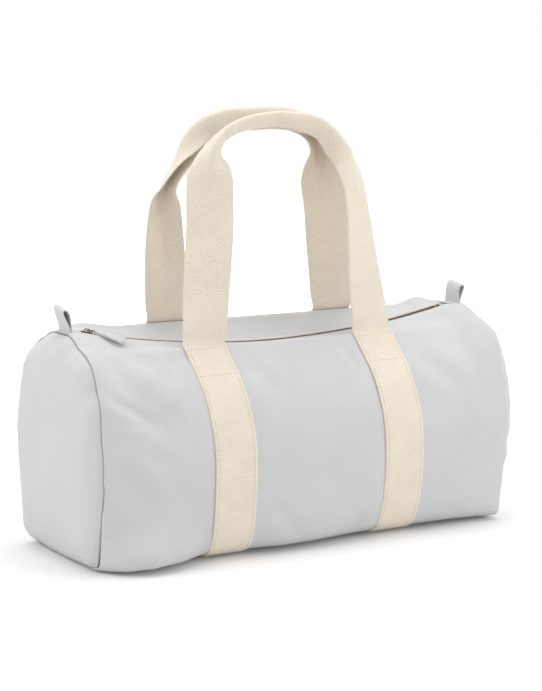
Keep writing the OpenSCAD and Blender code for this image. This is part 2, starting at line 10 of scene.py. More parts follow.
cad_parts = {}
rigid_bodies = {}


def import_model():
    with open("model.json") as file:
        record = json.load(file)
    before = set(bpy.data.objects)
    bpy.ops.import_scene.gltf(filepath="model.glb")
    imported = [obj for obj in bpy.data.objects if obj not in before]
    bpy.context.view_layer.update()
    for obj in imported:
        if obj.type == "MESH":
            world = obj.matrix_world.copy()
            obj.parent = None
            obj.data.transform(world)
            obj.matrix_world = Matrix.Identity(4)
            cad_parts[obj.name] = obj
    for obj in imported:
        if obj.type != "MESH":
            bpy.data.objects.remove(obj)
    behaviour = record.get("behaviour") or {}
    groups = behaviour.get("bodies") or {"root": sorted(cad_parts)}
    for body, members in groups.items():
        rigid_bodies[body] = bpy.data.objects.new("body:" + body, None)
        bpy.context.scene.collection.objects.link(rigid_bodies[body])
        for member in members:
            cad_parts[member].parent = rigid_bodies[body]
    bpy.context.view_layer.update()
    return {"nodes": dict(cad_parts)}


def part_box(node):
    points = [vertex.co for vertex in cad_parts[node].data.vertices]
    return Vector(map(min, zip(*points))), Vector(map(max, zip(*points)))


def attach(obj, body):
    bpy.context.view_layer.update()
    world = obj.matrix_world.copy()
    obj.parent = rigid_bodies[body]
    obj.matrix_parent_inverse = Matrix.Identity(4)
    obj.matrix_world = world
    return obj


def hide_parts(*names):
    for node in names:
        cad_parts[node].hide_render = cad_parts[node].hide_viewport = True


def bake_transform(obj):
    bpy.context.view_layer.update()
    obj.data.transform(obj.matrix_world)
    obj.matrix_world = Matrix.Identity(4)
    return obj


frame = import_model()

bl_info = {
    "name": "Barrel bag",
    "version": (1, 0, 0),
    "blender": (4, 5, 0),
    "location": "3D View > Sidebar > Bag",
    "description": "Canvas barrel bag with a top zip, webbing straps and folded handles",
    "category": "Object",
}

# Sizes are in metres. The outlines repeat those of the bag's solids, as shares of the sizes.
END_SHARES = ((0.85, 0), (0.90, 0.17), (0.97, 0.32), (1.00, 0.46), (0.97, 0.60), (0.89, 0.75),
              (0.79, 0.86), (0.63, 0.92), (0.41, 0.955))
FRONT_SHARES = ((0.79, 0), (0.91, 0.10), (0.98, 0.22), (1.00, 0.38), (0.97, 0.51), (0.87, 0.64),
                (0.74, 0.74), (0.57, 0.83), (0.40, 0.912))
REAR_SHARES = ((0.79, 0), (0.91, 0.10), (0.98, 0.22), (1.00, 0.38), (0.98, 0.54), (0.90, 0.69),
               (0.78, 0.81), (0.61, 0.91), (0.40, 0.985))
LAST = len(END_SHARES) - 1
FRONT_ARCH_SHARES = ((0.97, 0.36), (0.94, 0.57), (0.87, 0.77), (0.68, 0.905), (0.37, 0.98),
                     (0, 1))
REAR_ARCH_SHARES = ((0.965, 0.20), (0.895, 0.42), (0.80, 0.65), (0.63, 0.86), (0.35, 0.975),
                    (0, 1))
BELLY_POWER = 2.5

# Rows of points round a cross section: along the top, down a side and along the base
TOP_ROWS = 30
SIDE_ROWS = 78
BASE_ROWS = 30
FRONT_CREST = TOP_ROWS - 1
FRONT_FOOT = FRONT_CREST + SIDE_ROWS - 1
REAR_FOOT = FRONT_FOOT + BASE_ROWS - 1
REAR_CREST = REAR_FOOT + SIDE_ROWS - 1
ROWS = REAR_CREST + TOP_ROWS
EDGE_ROWS = 8
BARREL_ROWS = slice(FRONT_CREST, REAR_CREST + 1)
COLUMN_STEP = 0.0035
SEAM_COLUMNS = 6

# Names of the two ends and of the lips beside the zip, and the side each is on
ENDS = ((-1, "left"), (1, "right"))
LIPS = (("front", -1), ("rear", 1))

# Corners of the section, and the rows over which each is rounded
CORNERS = ((FRONT_CREST, 7), (REAR_CREST, 6), (FRONT_FOOT, 5), (REAR_FOOT, 5))
CREST_ROWS = 4
ROUNDING_PASSES = 40

# Lengths of the waves in the canvas
LUMP = 0.16
SMALL_LUMP = 0.05
END_LUMP = 0.13
PUCKER = 0.022
EDGE_WAVE = 0.09

# How the side bulges, how far a strap presses on it, and what it takes off the unevenness
SIDE_POWER = 0.8
PRESS_SHARE = 0.56
LUMPS_PRESSED = 0.7
CREASES_PRESSED = 0.8
SMALL_LUMP_SHARE = 0.28
PUCKER_STRETCH = 0.3

# A crease's shares of its length where it fades in and out, and the ridges on both sides of it
CREASE_START = 0.3
CREASE_END = 0.4
RIDGE_SHARE = 0.55
RIDGE_PLACE = 1.7

MM = 0.001

# Distances over which the shape changes: of the rear fold's lifts in millimetres, and towards
# an end seam of the base's crisp corners and of its sag in metres
LIFT_EASE = 14
CRISP_REACH = 0.04
END_SAG_REACH = 0.06


def lerp(a, b, t):
    return a + (b - a) * t


def smooth(t):
    t = np.clip(t, 0, 1)
    return t * t * (3 - 2 * t)


def hump(t, width):
    """1 at t = 0, falling off over width on both sides."""
    return np.exp(-((t / width) ** 2))


def curve(points, u):
    """A smooth curve through the points, where u runs from 0 to the last point's index."""
    p, u = np.asarray(points, float), np.asarray(u, float)
    n = len(p) - 1
    i = np.clip(np.floor(u).astype(int), 0, n - 1)
    f = (u - i)[..., None]
    a, b, c, d = p[np.maximum(i - 1, 0)], p[i], p[i + 1], p[np.minimum(i + 2, n)]
    return b + f / 2 * ((c - a) + f * ((2 * a - 5 * b + 4 * c - d) + f * (3 * b - a - 3 * c + d)))


def unit(v):
    return v / np.maximum(np.linalg.norm(v, axis=-1, keepdims=True), 1e-9)


def grid_normals(p):
    """Normals of a grid of points whose first index runs along X and second down the front."""
    return unit(np.cross(np.gradient(p, axis=1), np.gradient(p, axis=0)))


def run_length(points, axis=0):
    """Distance run along one axis of a grid of points, from 0 at its start."""
    steps = np.cumsum(np.linalg.norm(np.diff(points, axis=axis), axis=-1), axis=axis)
    return np.concatenate([np.zeros_like(np.take(steps, [0], axis)), steps], axis)


WAVES = 7


def ripple(a, b, seed, size):
    """Smooth seeded waves about `size` long over the plane of a and b, between -1 and 1."""
    rng = np.random.default_rng(seed)
    total = np.zeros(np.broadcast(a, b).shape)
    for _ in range(WAVES):
        angle, phase = rng.uniform(0, 2 * math.pi, 2)
        k = 2 * math.pi / (size * rng.uniform(0.7, 1.6))
        total += np.sin(k * (a * math.cos(angle) + b * math.sin(angle)) + phase)
    return total / math.sqrt(WAVES * 2)


class Shape:
    """The bag's outlines, worked out from the sizes in the scene."""

    def __init__(self):
        scene = bpy.context.scene
        self.body, self.zip, self.webbing = scene.bag_body, scene.bag_zip, scene.bag_webbing
        self.half = self.body.length / 2
        self.base = self.webbing.thickness + self.body.gap
        self.rise = self.body.height - self.base
        z = self.zip
        self.chain_r = (z.closed_x**2 + z.climb**2) / (2 * z.climb)
        self.chain_centre_z = z.low_z + self.chain_r
        self.flap_x = z.closed_x + z.slider_length
        self.tape_in = z.tooth_gap + z.tooth_length - z.tooth_grip
        self.flat_y = self.tape_in + z.tape_width + self.body.gap

    def belly(self, x):
        """Share of the middle's outline at x, where the ends' outline has the rest."""
        return 1 - np.minimum(1, np.abs(x) / self.half) ** BELLY_POWER

    def fold(self, x):
        """The same for the folds, which run straight beside the zip."""
        right = self.zip.lip_right_x
        return 1 - smooth((np.abs(x) - right) / (self.half - right))

    def outline(self, x, side, u):
        """Points [y, z] at x, from the base's edge at u = 0 up to the fold at u = LAST."""
        x, u = np.broadcast_arrays(np.asarray(x, float), np.asarray(u, float))
        e = curve(END_SHARES, u)
        m = curve(FRONT_SHARES if side < 0 else REAR_SHARES, u)
        w = lerp(self.belly(x), self.fold(x), (u / LAST) ** 2)
        b = self.body
        front = lerp(b.front_left_half, b.front_right_half, (x + self.half) / b.length)
        end_half = front if side < 0 else b.rear_half
        y = side * lerp(e[..., 0] * end_half, m[..., 0] * b.mid_half, w)
        z = self.base + self.rise * lerp(e[..., 1], m[..., 1], w)
        if side > 0:
            z = z + keyed(REAR_LIFTS, x / MM, LIFT_EASE)[0] * MM * (u / LAST) ** 5
        return np.stack([y, z], -1)

    def chain_z(self, x):
        """Height of the chain, which hangs in an arc."""
        return self.chain_centre_z - np.sqrt(self.chain_r**2 - np.square(x))

    def chain_angle(self, x):
        return np.arcsin(x / self.chain_r)

    def edge_z(self, x):
        """Height of the canvas along the zip, and beyond its ends up to the end seam."""
        lift = self.zip.tape_thickness / 2 + self.zip.seam_gap + self.body.canvas_thickness
        x = np.abs(x)
        past = (x - self.flap_x) / (self.half - self.flap_x)
        inside = self.chain_z(np.minimum(x, self.flap_x)) + lift
        return np.where(x <= self.flap_x, inside, lerp(inside, self.body.height, past))

    def top(self, x, side, v):
        """Points [y, z] of the top, from the fold at v = 0 to the canvas edge at v = 2."""
        x, v = np.broadcast_arrays(np.asarray(x, float), np.asarray(v, float))
        a = self.outline(x, side, np.full(x.shape, float(LAST)))
        b = np.stack([np.full(x.shape, side * self.flat_y), self.edge_z(x)], -1)
        p = lerp(a, b, np.minimum(v, 1)[..., None])
        crown = lerp(self.body.top_crown, -self.body.top_sag, self.fold(x))
        p[..., 1] += crown * np.sin(math.pi * np.minimum(v, 1))
        z = self.zip
        wide = smooth((np.abs(x) - z.edge_near) / (z.edge_far - z.edge_near))
        last = np.clip(v - 1, 0, 1)
        p[..., 0] -= side * last * (self.flat_y - lerp(z.edge_y, z.edge_wide, wide))
        p[..., 1] += last * (1 - wide) * z.edge_lift * (0.2 + ripple(x, x * 0, 23, EDGE_WAVE))
        return p

    def section(self, xs):
        """Points [y, z] at each x, from the front's edge at the zip round to the rear's."""
        x = np.asarray(xs, float)[:, None]
        down = np.linspace(LAST, 0, SIDE_ROWS)[None, :]
        top = np.concatenate([np.linspace(0, 1, TOP_ROWS - EDGE_ROWS),
                              np.linspace(1, 2, EDGE_ROWS + 1)[1:]])[None, :]
        front, rear = self.outline(x, -1, down), self.outline(x, 1, down[:, ::-1])
        for points, table in ((front, FRONT_SPREAD), (rear, REAR_SPREAD)):
            low = hump(points[..., 1] - self.base, self.body.spread_height)
            at, reach = np.array(table).T * MM
            points[..., 0] += low * np.interp(x, at, reach)
        share = np.linspace(0, 1, BASE_ROWS)[None, 1:-1, None]
        base = lerp(front[:, -1:], rear[:, :1], share)
        return np.concatenate([self.top(x, -1, top[:, ::-1]), front[:, 1:], base,
                               rear, self.top(x, 1, top)[:, 1:]], 1)

    def soften(self, yz, xs):
        """Rounds the corners at the base, less so near the ends, and at the folds. The folds
        stay where they turn."""
        ease = 1 - self.body.end_crisp * hump(np.abs(xs) - self.half, CRISP_REACH)
        rows = np.arange(yz.shape[1])
        reach = np.max([hump(rows - corner, width) for corner, width in CORNERS], axis=0)
        crests = {c: yz[:, c].copy() for c in (FRONT_CREST, REAR_CREST)}
        for _ in range(ROUNDING_PASSES):
            middle = (yz[:, :-2] + yz[:, 2:]) / 2 - yz[:, 1:-1]
            yz[:, 1:-1] += middle * ease[:, None, None] * (reach[1:-1] / 2)[None, :, None]
        for c, place in crests.items():
            moved = place - yz[:, c]
            yz += moved[:, None, :] * hump(rows - c, CREST_ROWS)[None, :, None]
        return yz

    def relief(self, p):
        """How far the canvas stands proud at each point of a grid over the whole section."""
        body, webbing = self.body, self.webbing
        x, z = p[..., 0], p[..., 2]
        rows = np.arange(p.shape[1])
        girth = run_length(p, axis=1)
        t = np.interp(rows, [0, FRONT_CREST, FRONT_FOOT, REAR_FOOT, REAR_CREST, p.shape[1] - 1],
                      [0, 0, 1, 2, 3, 3])
        sides = np.sin(math.pi * np.where(t > 1, t - 2, t).clip(0, 1)) ** SIDE_POWER
        # A strap presses the canvas flat under it
        pressed = np.exp(-((np.abs(x) - webbing.strap_x) / (webbing.width * PRESS_SHARE)) ** 4)
        seam = np.exp(-(self.half - np.abs(x)) / body.pucker_reach)
        d = body.fullness * sides * (1 - pressed) * (1 - seam)
        lumps = body.lumps * sides * (1 - LUMPS_PRESSED * pressed)
        d += lumps * (ripple(x, girth, 3, LUMP)
                      + SMALL_LUMP_SHARE * ripple(x, girth, 5, SMALL_LUMP))
        d += body.pucker * seam * ripple(girth, x * PUCKER_STRETCH, 8, PUCKER) * sides
        d += self.creases(x, z, rows) * (1 - CREASES_PRESSED * pressed)
        base = smooth(1 - np.abs(t - 1.5) / 0.5)
        sag = body.base_sag + body.end_sag * hump(np.abs(x) - self.half, END_SAG_REACH)
        d += base * (1 - pressed) * sag
        # The canvas turns in at each end seam
        u = 1 - np.clip((self.half - np.abs(x)) / body.seam_turn, 0, 1)
        return d - body.seam_depth * (1 - np.sqrt(1 - u**2 * 0.999))

    def creases(self, x, z, rows):
        """Soft folds, each from one place to another on a side of the bag."""
        total = np.zeros(x.shape)
        for side, x0, z0, x1, z1, depth, width in CREASES:
            ax, az, bx, bz = (k * MM for k in (x0, z0, x1, z1))
            length2 = (bx - ax) ** 2 + (bz - az) ** 2
            t = ((x - ax) * (bx - ax) + (z - az) * (bz - az)) / length2
            near = np.clip(t, 0, 1)
            away = np.hypot(x - lerp(ax, bx, near), z - lerp(az, bz, near)) / (width * MM)
            on_side = (rows < FRONT_FOOT) & (rows > FRONT_CREST) if side < 0 else (
                (rows > REAR_FOOT) & (rows < REAR_CREST))
            fade = smooth(near / CREASE_START) * smooth((1 - near) / CREASE_END)
            shape = hump(away, 1) - RIDGE_SHARE * hump(away - RIDGE_PLACE, 1)
            total -= depth * MM * shape * fade * on_side
        return total

    def skin(self, xs):
        """The canvas's outer face at each x, as a grid of points and their normals."""
        xs = np.asarray(xs, float)
        yz = self.soften(self.section(xs), xs)
        p = np.concatenate([np.broadcast_to(xs[:, None, None], yz.shape[:2] + (1,)), yz], 2)
        p = p + grid_normals(p) * self.relief(p)[..., None]
        return p, grid_normals(p)


# How far the base spreads on the floor: places along the bag and reach, in millimetres
FRONT_SPREAD = ((-250, 3), (-240, -13), (-226, -29), (-202, -39), (-168, -30), (-138, -10),
                (-105, -5), (-75, -8), (-40, -14), (0, -13), (50, -6), (105, -2), (160, -7),
                (205, -8), (250, -2))
REAR_SPREAD = ((-250, 2), (-200, 10), (-140, 3), (-105, 2), (-60, 8), (0, 11), (60, 8),
               (105, 2), (140, 4), (200, 12), (250, 2))

# How far the rear fold stands up along the bag, in millimetres
REAR_LIFTS = ((-250, 2), (-232, 6), (-208, 6), (-172, 0), (190, 0), (204, 2), (216, 8),
              (232, 10), (250, 4))

# Folds of the canvas: side, x and z where each starts and ends, depth and width, in millimetres
CREASES = (
    (-1, -250, 222, -164, 128, 4.0, 19),
    (-1, -212, 226, -158, 196, 2.4, 10),
    (-1, -249, 189, -172, 140, 1.7, 6),
    (-1, -240, 160, -194, 148, 1.2, 4.5),
    (-1, -247, 122, -190, 62, 3.0, 15),
    (-1, -120, 214, -165, 205, 1.2, 6),
    (-1, 58, 214, 76, 176, 1.2, 6),
    (-1, -244, 150, -168, 96, 1.8, 10),
    (-1, -140, 205, -190, 176, 1.2, 8),
    (-1, -72, 208, -30, 160, 1.8, 10),
    (-1, 78, 196, 30, 150, 1.2, 9),
    (-1, -60, 60, -20, 12, 1.4, 9),
    (-1, 140, 200, 205, 150, 1.8, 11),
    (-1, 244, 120, 190, 70, 1.6, 10),
    (1, 246, 200, 160, 130, 2.4, 11),
    (1, -246, 160, -170, 90, 2.0, 10),
    (1, -70, 215, -10, 150, 1.8, 11),
    (1, 74, 120, 20, 60, 1.5, 10),
    (1, 140, 215, 190, 160, 1.4, 9),
)


def columns(x0, x1):
    """Evenly spaced places between x0 and x1, from left to right."""
    return np.linspace(min(x0, x1), max(x0, x1),
                       max(3, math.ceil(abs(x1 - x0) / COLUMN_STEP) + 1))


def seam_columns(x0, x1, *ends):
    """Columns between x0 and x1, closer together at the end seams named in ends."""
    turn = np.linspace(0, 1, SEAM_COLUMNS) ** 2 * COLUMN_STEP
    near = [end - math.copysign(1, end) * turn for end in ends]
    return np.unique(np.round(np.concatenate([columns(x0, x1), *near]), 6))


def new_object(name, verts, faces, uvs=None, sharp=0):
    """A mesh object with smooth faces that point outwards. uvs has one pair for each vertex, and
    edges that turn by more than sharp degrees are shaded sharp."""
    mesh = bpy.data.meshes.new(name)
    mesh.from_pydata([tuple(v) for v in verts], [], faces)
    if uvs is not None:
        layer = mesh.uv_layers.new(name="cloth")
        loops = np.zeros(len(mesh.loops), int)
        mesh.loops.foreach_get("vertex_index", loops)
        layer.data.foreach_set("uv", np.asarray(uvs, np.float32)[loops].ravel())
    bm = bmesh.new()
    bm.from_mesh(mesh)
    bmesh.ops.recalc_face_normals(bm, faces=bm.faces)
    shade(bm, sharp)
    bm.to_mesh(mesh)
    bm.free()
    return linked(name, mesh)


def shade(bm, sharp):
    """Smooth faces, and sharp edges where they turn by more than sharp degrees, if it is set."""
    bm.normal_update()
    for f in bm.faces:
        f.smooth = True
    for e in bm.edges if sharp else ():
        if len(e.link_faces) == 2 and e.calc_face_angle(0) > math.radians(sharp):
            e.smooth = False


def linked(name, data):
    """A new object in the scene."""
    obj = bpy.data.objects.new(name, data)
    bpy.context.scene.collection.objects.link(obj)
    return obj


def grid_faces(n, m, base=0, wrap=False):
    return [(base + i * m + j, base + i * m + (j + 1) % m,
             base + (i + 1) * m + (j + 1) % m, base + (i + 1) * m + j)
            for i in range(n - 1) for j in range(m if wrap else m - 1)]


# Edges of cloth and of metal that turn by more degrees than this are shaded sharp
CLOTH_EDGE = 60
METAL_EDGE = 35
WIRE_EDGE = 50
PULLER_EDGE = 70


def capped_faces(n, m):
    """Faces of a tube of n rings of m points, with a face over each end."""
    return grid_faces(n, m, wrap=True) + [tuple(range(m)), tuple(range((n - 1) * m, n * m))]


def cloth_sheet(name, outer, thickness, uv=None, normals=None):
    """A closed sheet whose outer face is the grid, with its inner face inside it."""
    n, m = outer.shape[:2]
    normals = grid_normals(outer) if normals is None else normals
    inner = outer - normals * thickness
    if uv is None:
        uv = np.stack([outer[..., 0], run_length(outer, axis=1)], -1)
    k = n * m
    faces = grid_faces(n, m)
    faces += [tuple(k + i for i in reversed(f)) for f in grid_faces(n, m)]
    ring = ([(0, j) for j in range(m)] + [(i, m - 1) for i in range(1, n)]
            + [(n - 1, j) for j in range(m - 2, -1, -1)] + [(i, 0) for i in range(n - 2, 0, -1)])
    ids = [i * m + j for i, j in ring]
    for a, b in zip(ids, ids[1:] + ids[:1]):
        faces.append((a, b, k + b, k + a))
    verts = np.concatenate([outer.reshape(-1, 3), inner.reshape(-1, 3)])
    uvs = np.concatenate([uv.reshape(-1, 2)] * 2)
    sheet = new_object(name, verts, faces, uvs, CLOTH_EDGE)
    # Pieces that meet at a fold share its shading
    facing = normals.reshape(-1, 3)
    sheet.data.normals_split_custom_set_from_vertices(np.concatenate([facing, -facing]).tolist())
    return sheet


def band(name, middle, normals, thickness):
    """A woven band with round edges along a grid whose second index runs across the band."""
    n, m = middle.shape[:2]
    half = thickness / 2
    across = unit(middle[:, -1] - middle[:, -2]), unit(middle[:, 0] - middle[:, 1])
    widths, along = run_length(middle, axis=1), run_length(middle[:, m // 2])
    turns = [math.radians(a) for a in (45, 90, 135)]
    ring = [middle[:, j] + normals[:, j] * half for j in range(m)]
    side_uv = [widths[:, j] for j in range(m)]
    for a in turns:
        ring.append(middle[:, -1] + half * (normals[:, -1] * math.cos(a)
                                            + across[0] * math.sin(a)))
        side_uv.append(widths[:, -1] + half * a)
    ring += [middle[:, j] - normals[:, j] * half for j in range(m - 1, -1, -1)]
    side_uv += [widths[:, j] for j in range(m - 1, -1, -1)]
    for a in turns:
        ring.append(middle[:, 0] + half * (across[1] * math.sin(a)
                                           - normals[:, 0] * math.cos(a)))
        side_uv.append(np.full(n, -half * a))
    points = np.stack(ring, 1)
    uvs = np.stack([np.stack(side_uv, 1),
                    np.broadcast_to(along[:, None], points.shape[:2])], -1)
    k = points.shape[1]
    faces = grid_faces(n, k, wrap=True)
    for i in (0, n - 1):
        ids = [i * k + j for j in range(k)]
        lower = [ids[2 * m + 2 - j] for j in range(m)]
        for j in range(m - 1):
            faces.append((ids[j], ids[j + 1], lower[j + 1], lower[j]))
        faces.append((ids[m - 1], ids[m], ids[m + 1], ids[m + 2], lower[m - 1]))
        faces.append((lower[0], ids[2 * m + 3], ids[2 * m + 4], ids[2 * m + 5], ids[0]))
    return new_object(name, points.reshape(-1, 3), faces, uvs.reshape(-1, 2), CLOTH_EDGE)


def polylines(name, lines):
    """An object of bare edges along the lines, for the trees that set things along them."""
    verts, edges = [], []
    for line in lines:
        start = len(verts)
        verts += [tuple(p) for p in line]
        edges += [(start + i, start + i + 1) for i in range(len(line) - 1)]
    mesh = bpy.data.meshes.new(name)
    mesh.from_pydata(verts, edges, [])
    return linked(name, mesh)


def joined(name, parts):
    """One object from several."""
    for o in bpy.context.scene.objects:
        o.select_set(False)
    for o in parts:
        o.select_set(True)
    bpy.context.view_layer.objects.active = parts[0]
    if len(parts) > 1:
        bpy.ops.object.join()
    parts[0].name = parts[0].data.name = name
    return parts[0]


# Geometry Nodes trees

def new_tree(name, inputs):
    tree = bpy.data.node_groups.new(name, "GeometryNodeTree")
    tree.is_modifier = True
    tree.interface.new_socket("Lines", in_out="INPUT", socket_type="NodeSocketGeometry")
    for label, kind in inputs:
        tree.interface.new_socket(label, in_out="INPUT", socket_type="NodeSocket" + kind)
    tree.interface.new_socket("Result", in_out="OUTPUT", socket_type="NodeSocketGeometry")
    return tree, tree.nodes.new("NodeGroupInput"), tree.nodes.new("NodeGroupOutput")


def add_node(tree, kind, links=(), **settings):
    """A node with its settings, and its inputs linked or set by name."""
    made = tree.nodes.new(kind)
    for key, value in settings.items():
        setattr(made, key, value)
    for key, value in dict(links).items():
        socket = made.inputs[key]
        if isinstance(value, bpy.types.NodeSocket):
            tree.links.new(value, socket)
        else:
            socket.default_value = value
    return made


def finish_tree(tree, source, material, end):
    real = add_node(tree, "GeometryNodeRealizeInstances", {"Geometry": source})
    shaded = add_node(tree, "GeometryNodeSetShadeSmooth", {"Geometry": real.outputs[0]})
    painted = add_node(tree, "GeometryNodeSetMaterial",
                       {"Geometry": shaded.outputs[0], "Material": material})
    tree.links.new(painted.outputs[0], end.inputs[0])


def stitch_tree():
    """Sets short stitches along lines."""
    tree, start, end = new_tree("Stitches", (
        ("Pitch", "Float"), ("Length", "Float"), ("Thickness", "Float"),
        ("Material", "Material")))
    line = add_node(tree, "GeometryNodeMeshToCurve", {"Mesh": start.outputs["Lines"]})
    even = add_node(tree, "GeometryNodeResampleCurve",
                    {"Curve": line.outputs[0], "Length": start.outputs["Pitch"]}, mode="LENGTH")
    size = add_node(tree, "ShaderNodeCombineXYZ", {
        "X": start.outputs["Length"], "Y": start.outputs["Thickness"],
        "Z": start.outputs["Thickness"]})
    ball = add_node(tree, "GeometryNodeMeshUVSphere", {"Segments": 10, "Rings": 8, "Radius": 0.5})
    turned = add_node(tree, "GeometryNodeTransform", {
        "Geometry": ball.outputs[0], "Rotation": (0, math.pi / 2, 0)})
    stitch = add_node(tree, "GeometryNodeTransform", {
        "Geometry": turned.outputs[0], "Scale": size.outputs[0]})
    tangent = add_node(tree, "GeometryNodeInputTangent")
    turn = add_node(tree, "FunctionNodeAlignRotationToVector",
                    {"Vector": tangent.outputs[0]}, axis="X")
    row = add_node(tree, "GeometryNodeInstanceOnPoints", {
        "Points": even.outputs[0], "Instance": stitch.outputs[0], "Rotation": turn.outputs[0]})
    finish_tree(tree, row.outputs[0], start.outputs["Material"], end)
    return tree


def teeth_tree():
    """Sets a tooth at each of an even number of places along a chain."""
    tree, start, end = new_tree("Zip teeth", (
        ("Count", "Int"), ("Tooth", "Object"), ("Material", "Material")))
    line = add_node(tree, "GeometryNodeMeshToCurve", {"Mesh": start.outputs["Lines"]})
    even = add_node(tree, "GeometryNodeResampleCurve",
                    {"Curve": line.outputs[0], "Count": start.outputs["Count"]}, mode="COUNT")
    tooth = add_node(tree, "GeometryNodeObjectInfo", {"Object": start.outputs["Tooth"]})
    tangent = add_node(tree, "GeometryNodeInputTangent")
    turn = add_node(tree, "FunctionNodeAlignRotationToVector",
                    {"Vector": tangent.outputs[0]}, axis="X", pivot_axis="Y")
    row = add_node(tree, "GeometryNodeInstanceOnPoints", {
        "Points": even.outputs[0], "Instance": tooth.outputs["Geometry"],
        "Rotation": turn.outputs[0]})
    finish_tree(tree, row.outputs[0], start.outputs["Material"], end)
    return tree


def grown(name, source, tree, values):
    """The tree's result on the source, as a plain mesh under the name."""
    modifier = source.modifiers.new("grow", "NODES")
    modifier.node_group = tree
    for item in tree.interface.items_tree:
        if item.in_out == "INPUT" and item.name in values:
            modifier[item.identifier] = values[item.name]
    bpy.context.view_layer.update()
    evaluated = source.evaluated_get(bpy.context.evaluated_depsgraph_get())
    mesh = bpy.data.meshes.new_from_object(evaluated)
    mesh.name = name
    bpy.data.objects.remove(source)
    return linked(name, mesh)


def stitched(name, lines, colour_material):
    sewing = bpy.context.scene.bag_sewing
    tree = bpy.data.node_groups.get("Stitches") or stitch_tree()
    return grown(name, polylines(name + "_lines", lines), tree, {
        "Pitch": sewing.pitch, "Length": sewing.stitch, "Thickness": sewing.thread,
        "Material": colour_material})


# Materials

def new_material(name, colour, roughness, **shader):
    mat = bpy.data.materials.new(name)
    mat.use_nodes = True
    bsdf = mat.node_tree.nodes["Principled BSDF"]
    bsdf.inputs["Base Color"].default_value = (*colour, 1)
    bsdf.inputs["Roughness"].default_value = roughness
    for key, value in shader.items():
        bsdf.inputs[key.replace("_", " ")].default_value = value
    return mat, mat.node_tree, bsdf


def calc(tree, operation, a, b=None, c=None):
    made = tree.nodes.new("ShaderNodeMath")
    made.operation = operation
    for socket, value in zip(made.inputs, (a, b, c)):
        if isinstance(value, bpy.types.NodeSocket):
            tree.links.new(value, socket)
        elif value is not None:
            socket.default_value = value
    return made.outputs[0]


def noise_at(tree, vector, scale, detail=2.0, roughness=0.5):
    made = add_node(tree, "ShaderNodeTexNoise", {
        "Vector": vector, "Scale": scale, "Detail": detail, "Roughness": roughness})
    return made.outputs[0]


def streaks(tree, vector, scale, detail=3):
    """Noise drawn out into streaks. scale says how fine it is along each axis."""
    made = add_node(tree, "ShaderNodeMapping", {"Vector": vector, "Scale": scale})
    return noise_at(tree, made.outputs[0], 1.0, detail)


def object_place(tree):
    """Places in the object's own frame, in metres."""
    return tree.nodes.new("ShaderNodeTexCoord").outputs["Object"]


def tinted(tree, share, dark, light):
    """A colour between dark and light."""
    made = tree.nodes.new("ShaderNodeMix")
    made.data_type = "RGBA"
    tree.links.new(share, made.inputs[0])
    made.inputs[6].default_value = (*dark, 1)
    made.inputs[7].default_value = (*light, 1)
    return made.outputs[2]


def bumped(tree, height, distance, strength):
    made = add_node(tree, "ShaderNodeBump", {
        "Height": height, "Distance": distance, "Strength": strength})
    return made.outputs[0]


def weave(tree, u, v, pitch_u, pitch_v):
    """Height of a plain weave: bumps of one thread direction in turn with the other's."""
    a = calc(tree, "MULTIPLY", u, math.pi / pitch_u)
    b = calc(tree, "MULTIPLY", v, math.pi / pitch_v)
    return calc(tree, "MULTIPLY", calc(tree, "SINE", a), calc(tree, "SINE", b))


def cloth_coordinates(tree, wobble, wobble_scale):
    """The u and v of the cloth, in metres, drawn a little out of line."""
    uv = add_node(tree, "ShaderNodeUVMap", uv_map="cloth").outputs[0]
    shift = add_node(tree, "ShaderNodeTexNoise", {
        "Vector": uv, "Scale": wobble_scale, "Detail": 1.0}).outputs[1]
    centred = add_node(tree, "ShaderNodeVectorMath", operation="SUBTRACT")
    tree.links.new(shift, centred.inputs[0])
    centred.inputs[1].default_value = (0.5, 0.5, 0.5)
    moved = add_node(tree, "ShaderNodeVectorMath", operation="MULTIPLY_ADD")
    tree.links.new(centred.outputs[0], moved.inputs[0])
    moved.inputs[1].default_value = (wobble, wobble, 0)
    tree.links.new(uv, moved.inputs[2])
    split = add_node(tree, "ShaderNodeSeparateXYZ", {"Vector": moved.outputs[0]})
    return uv, split.outputs[0], split.outputs[1]


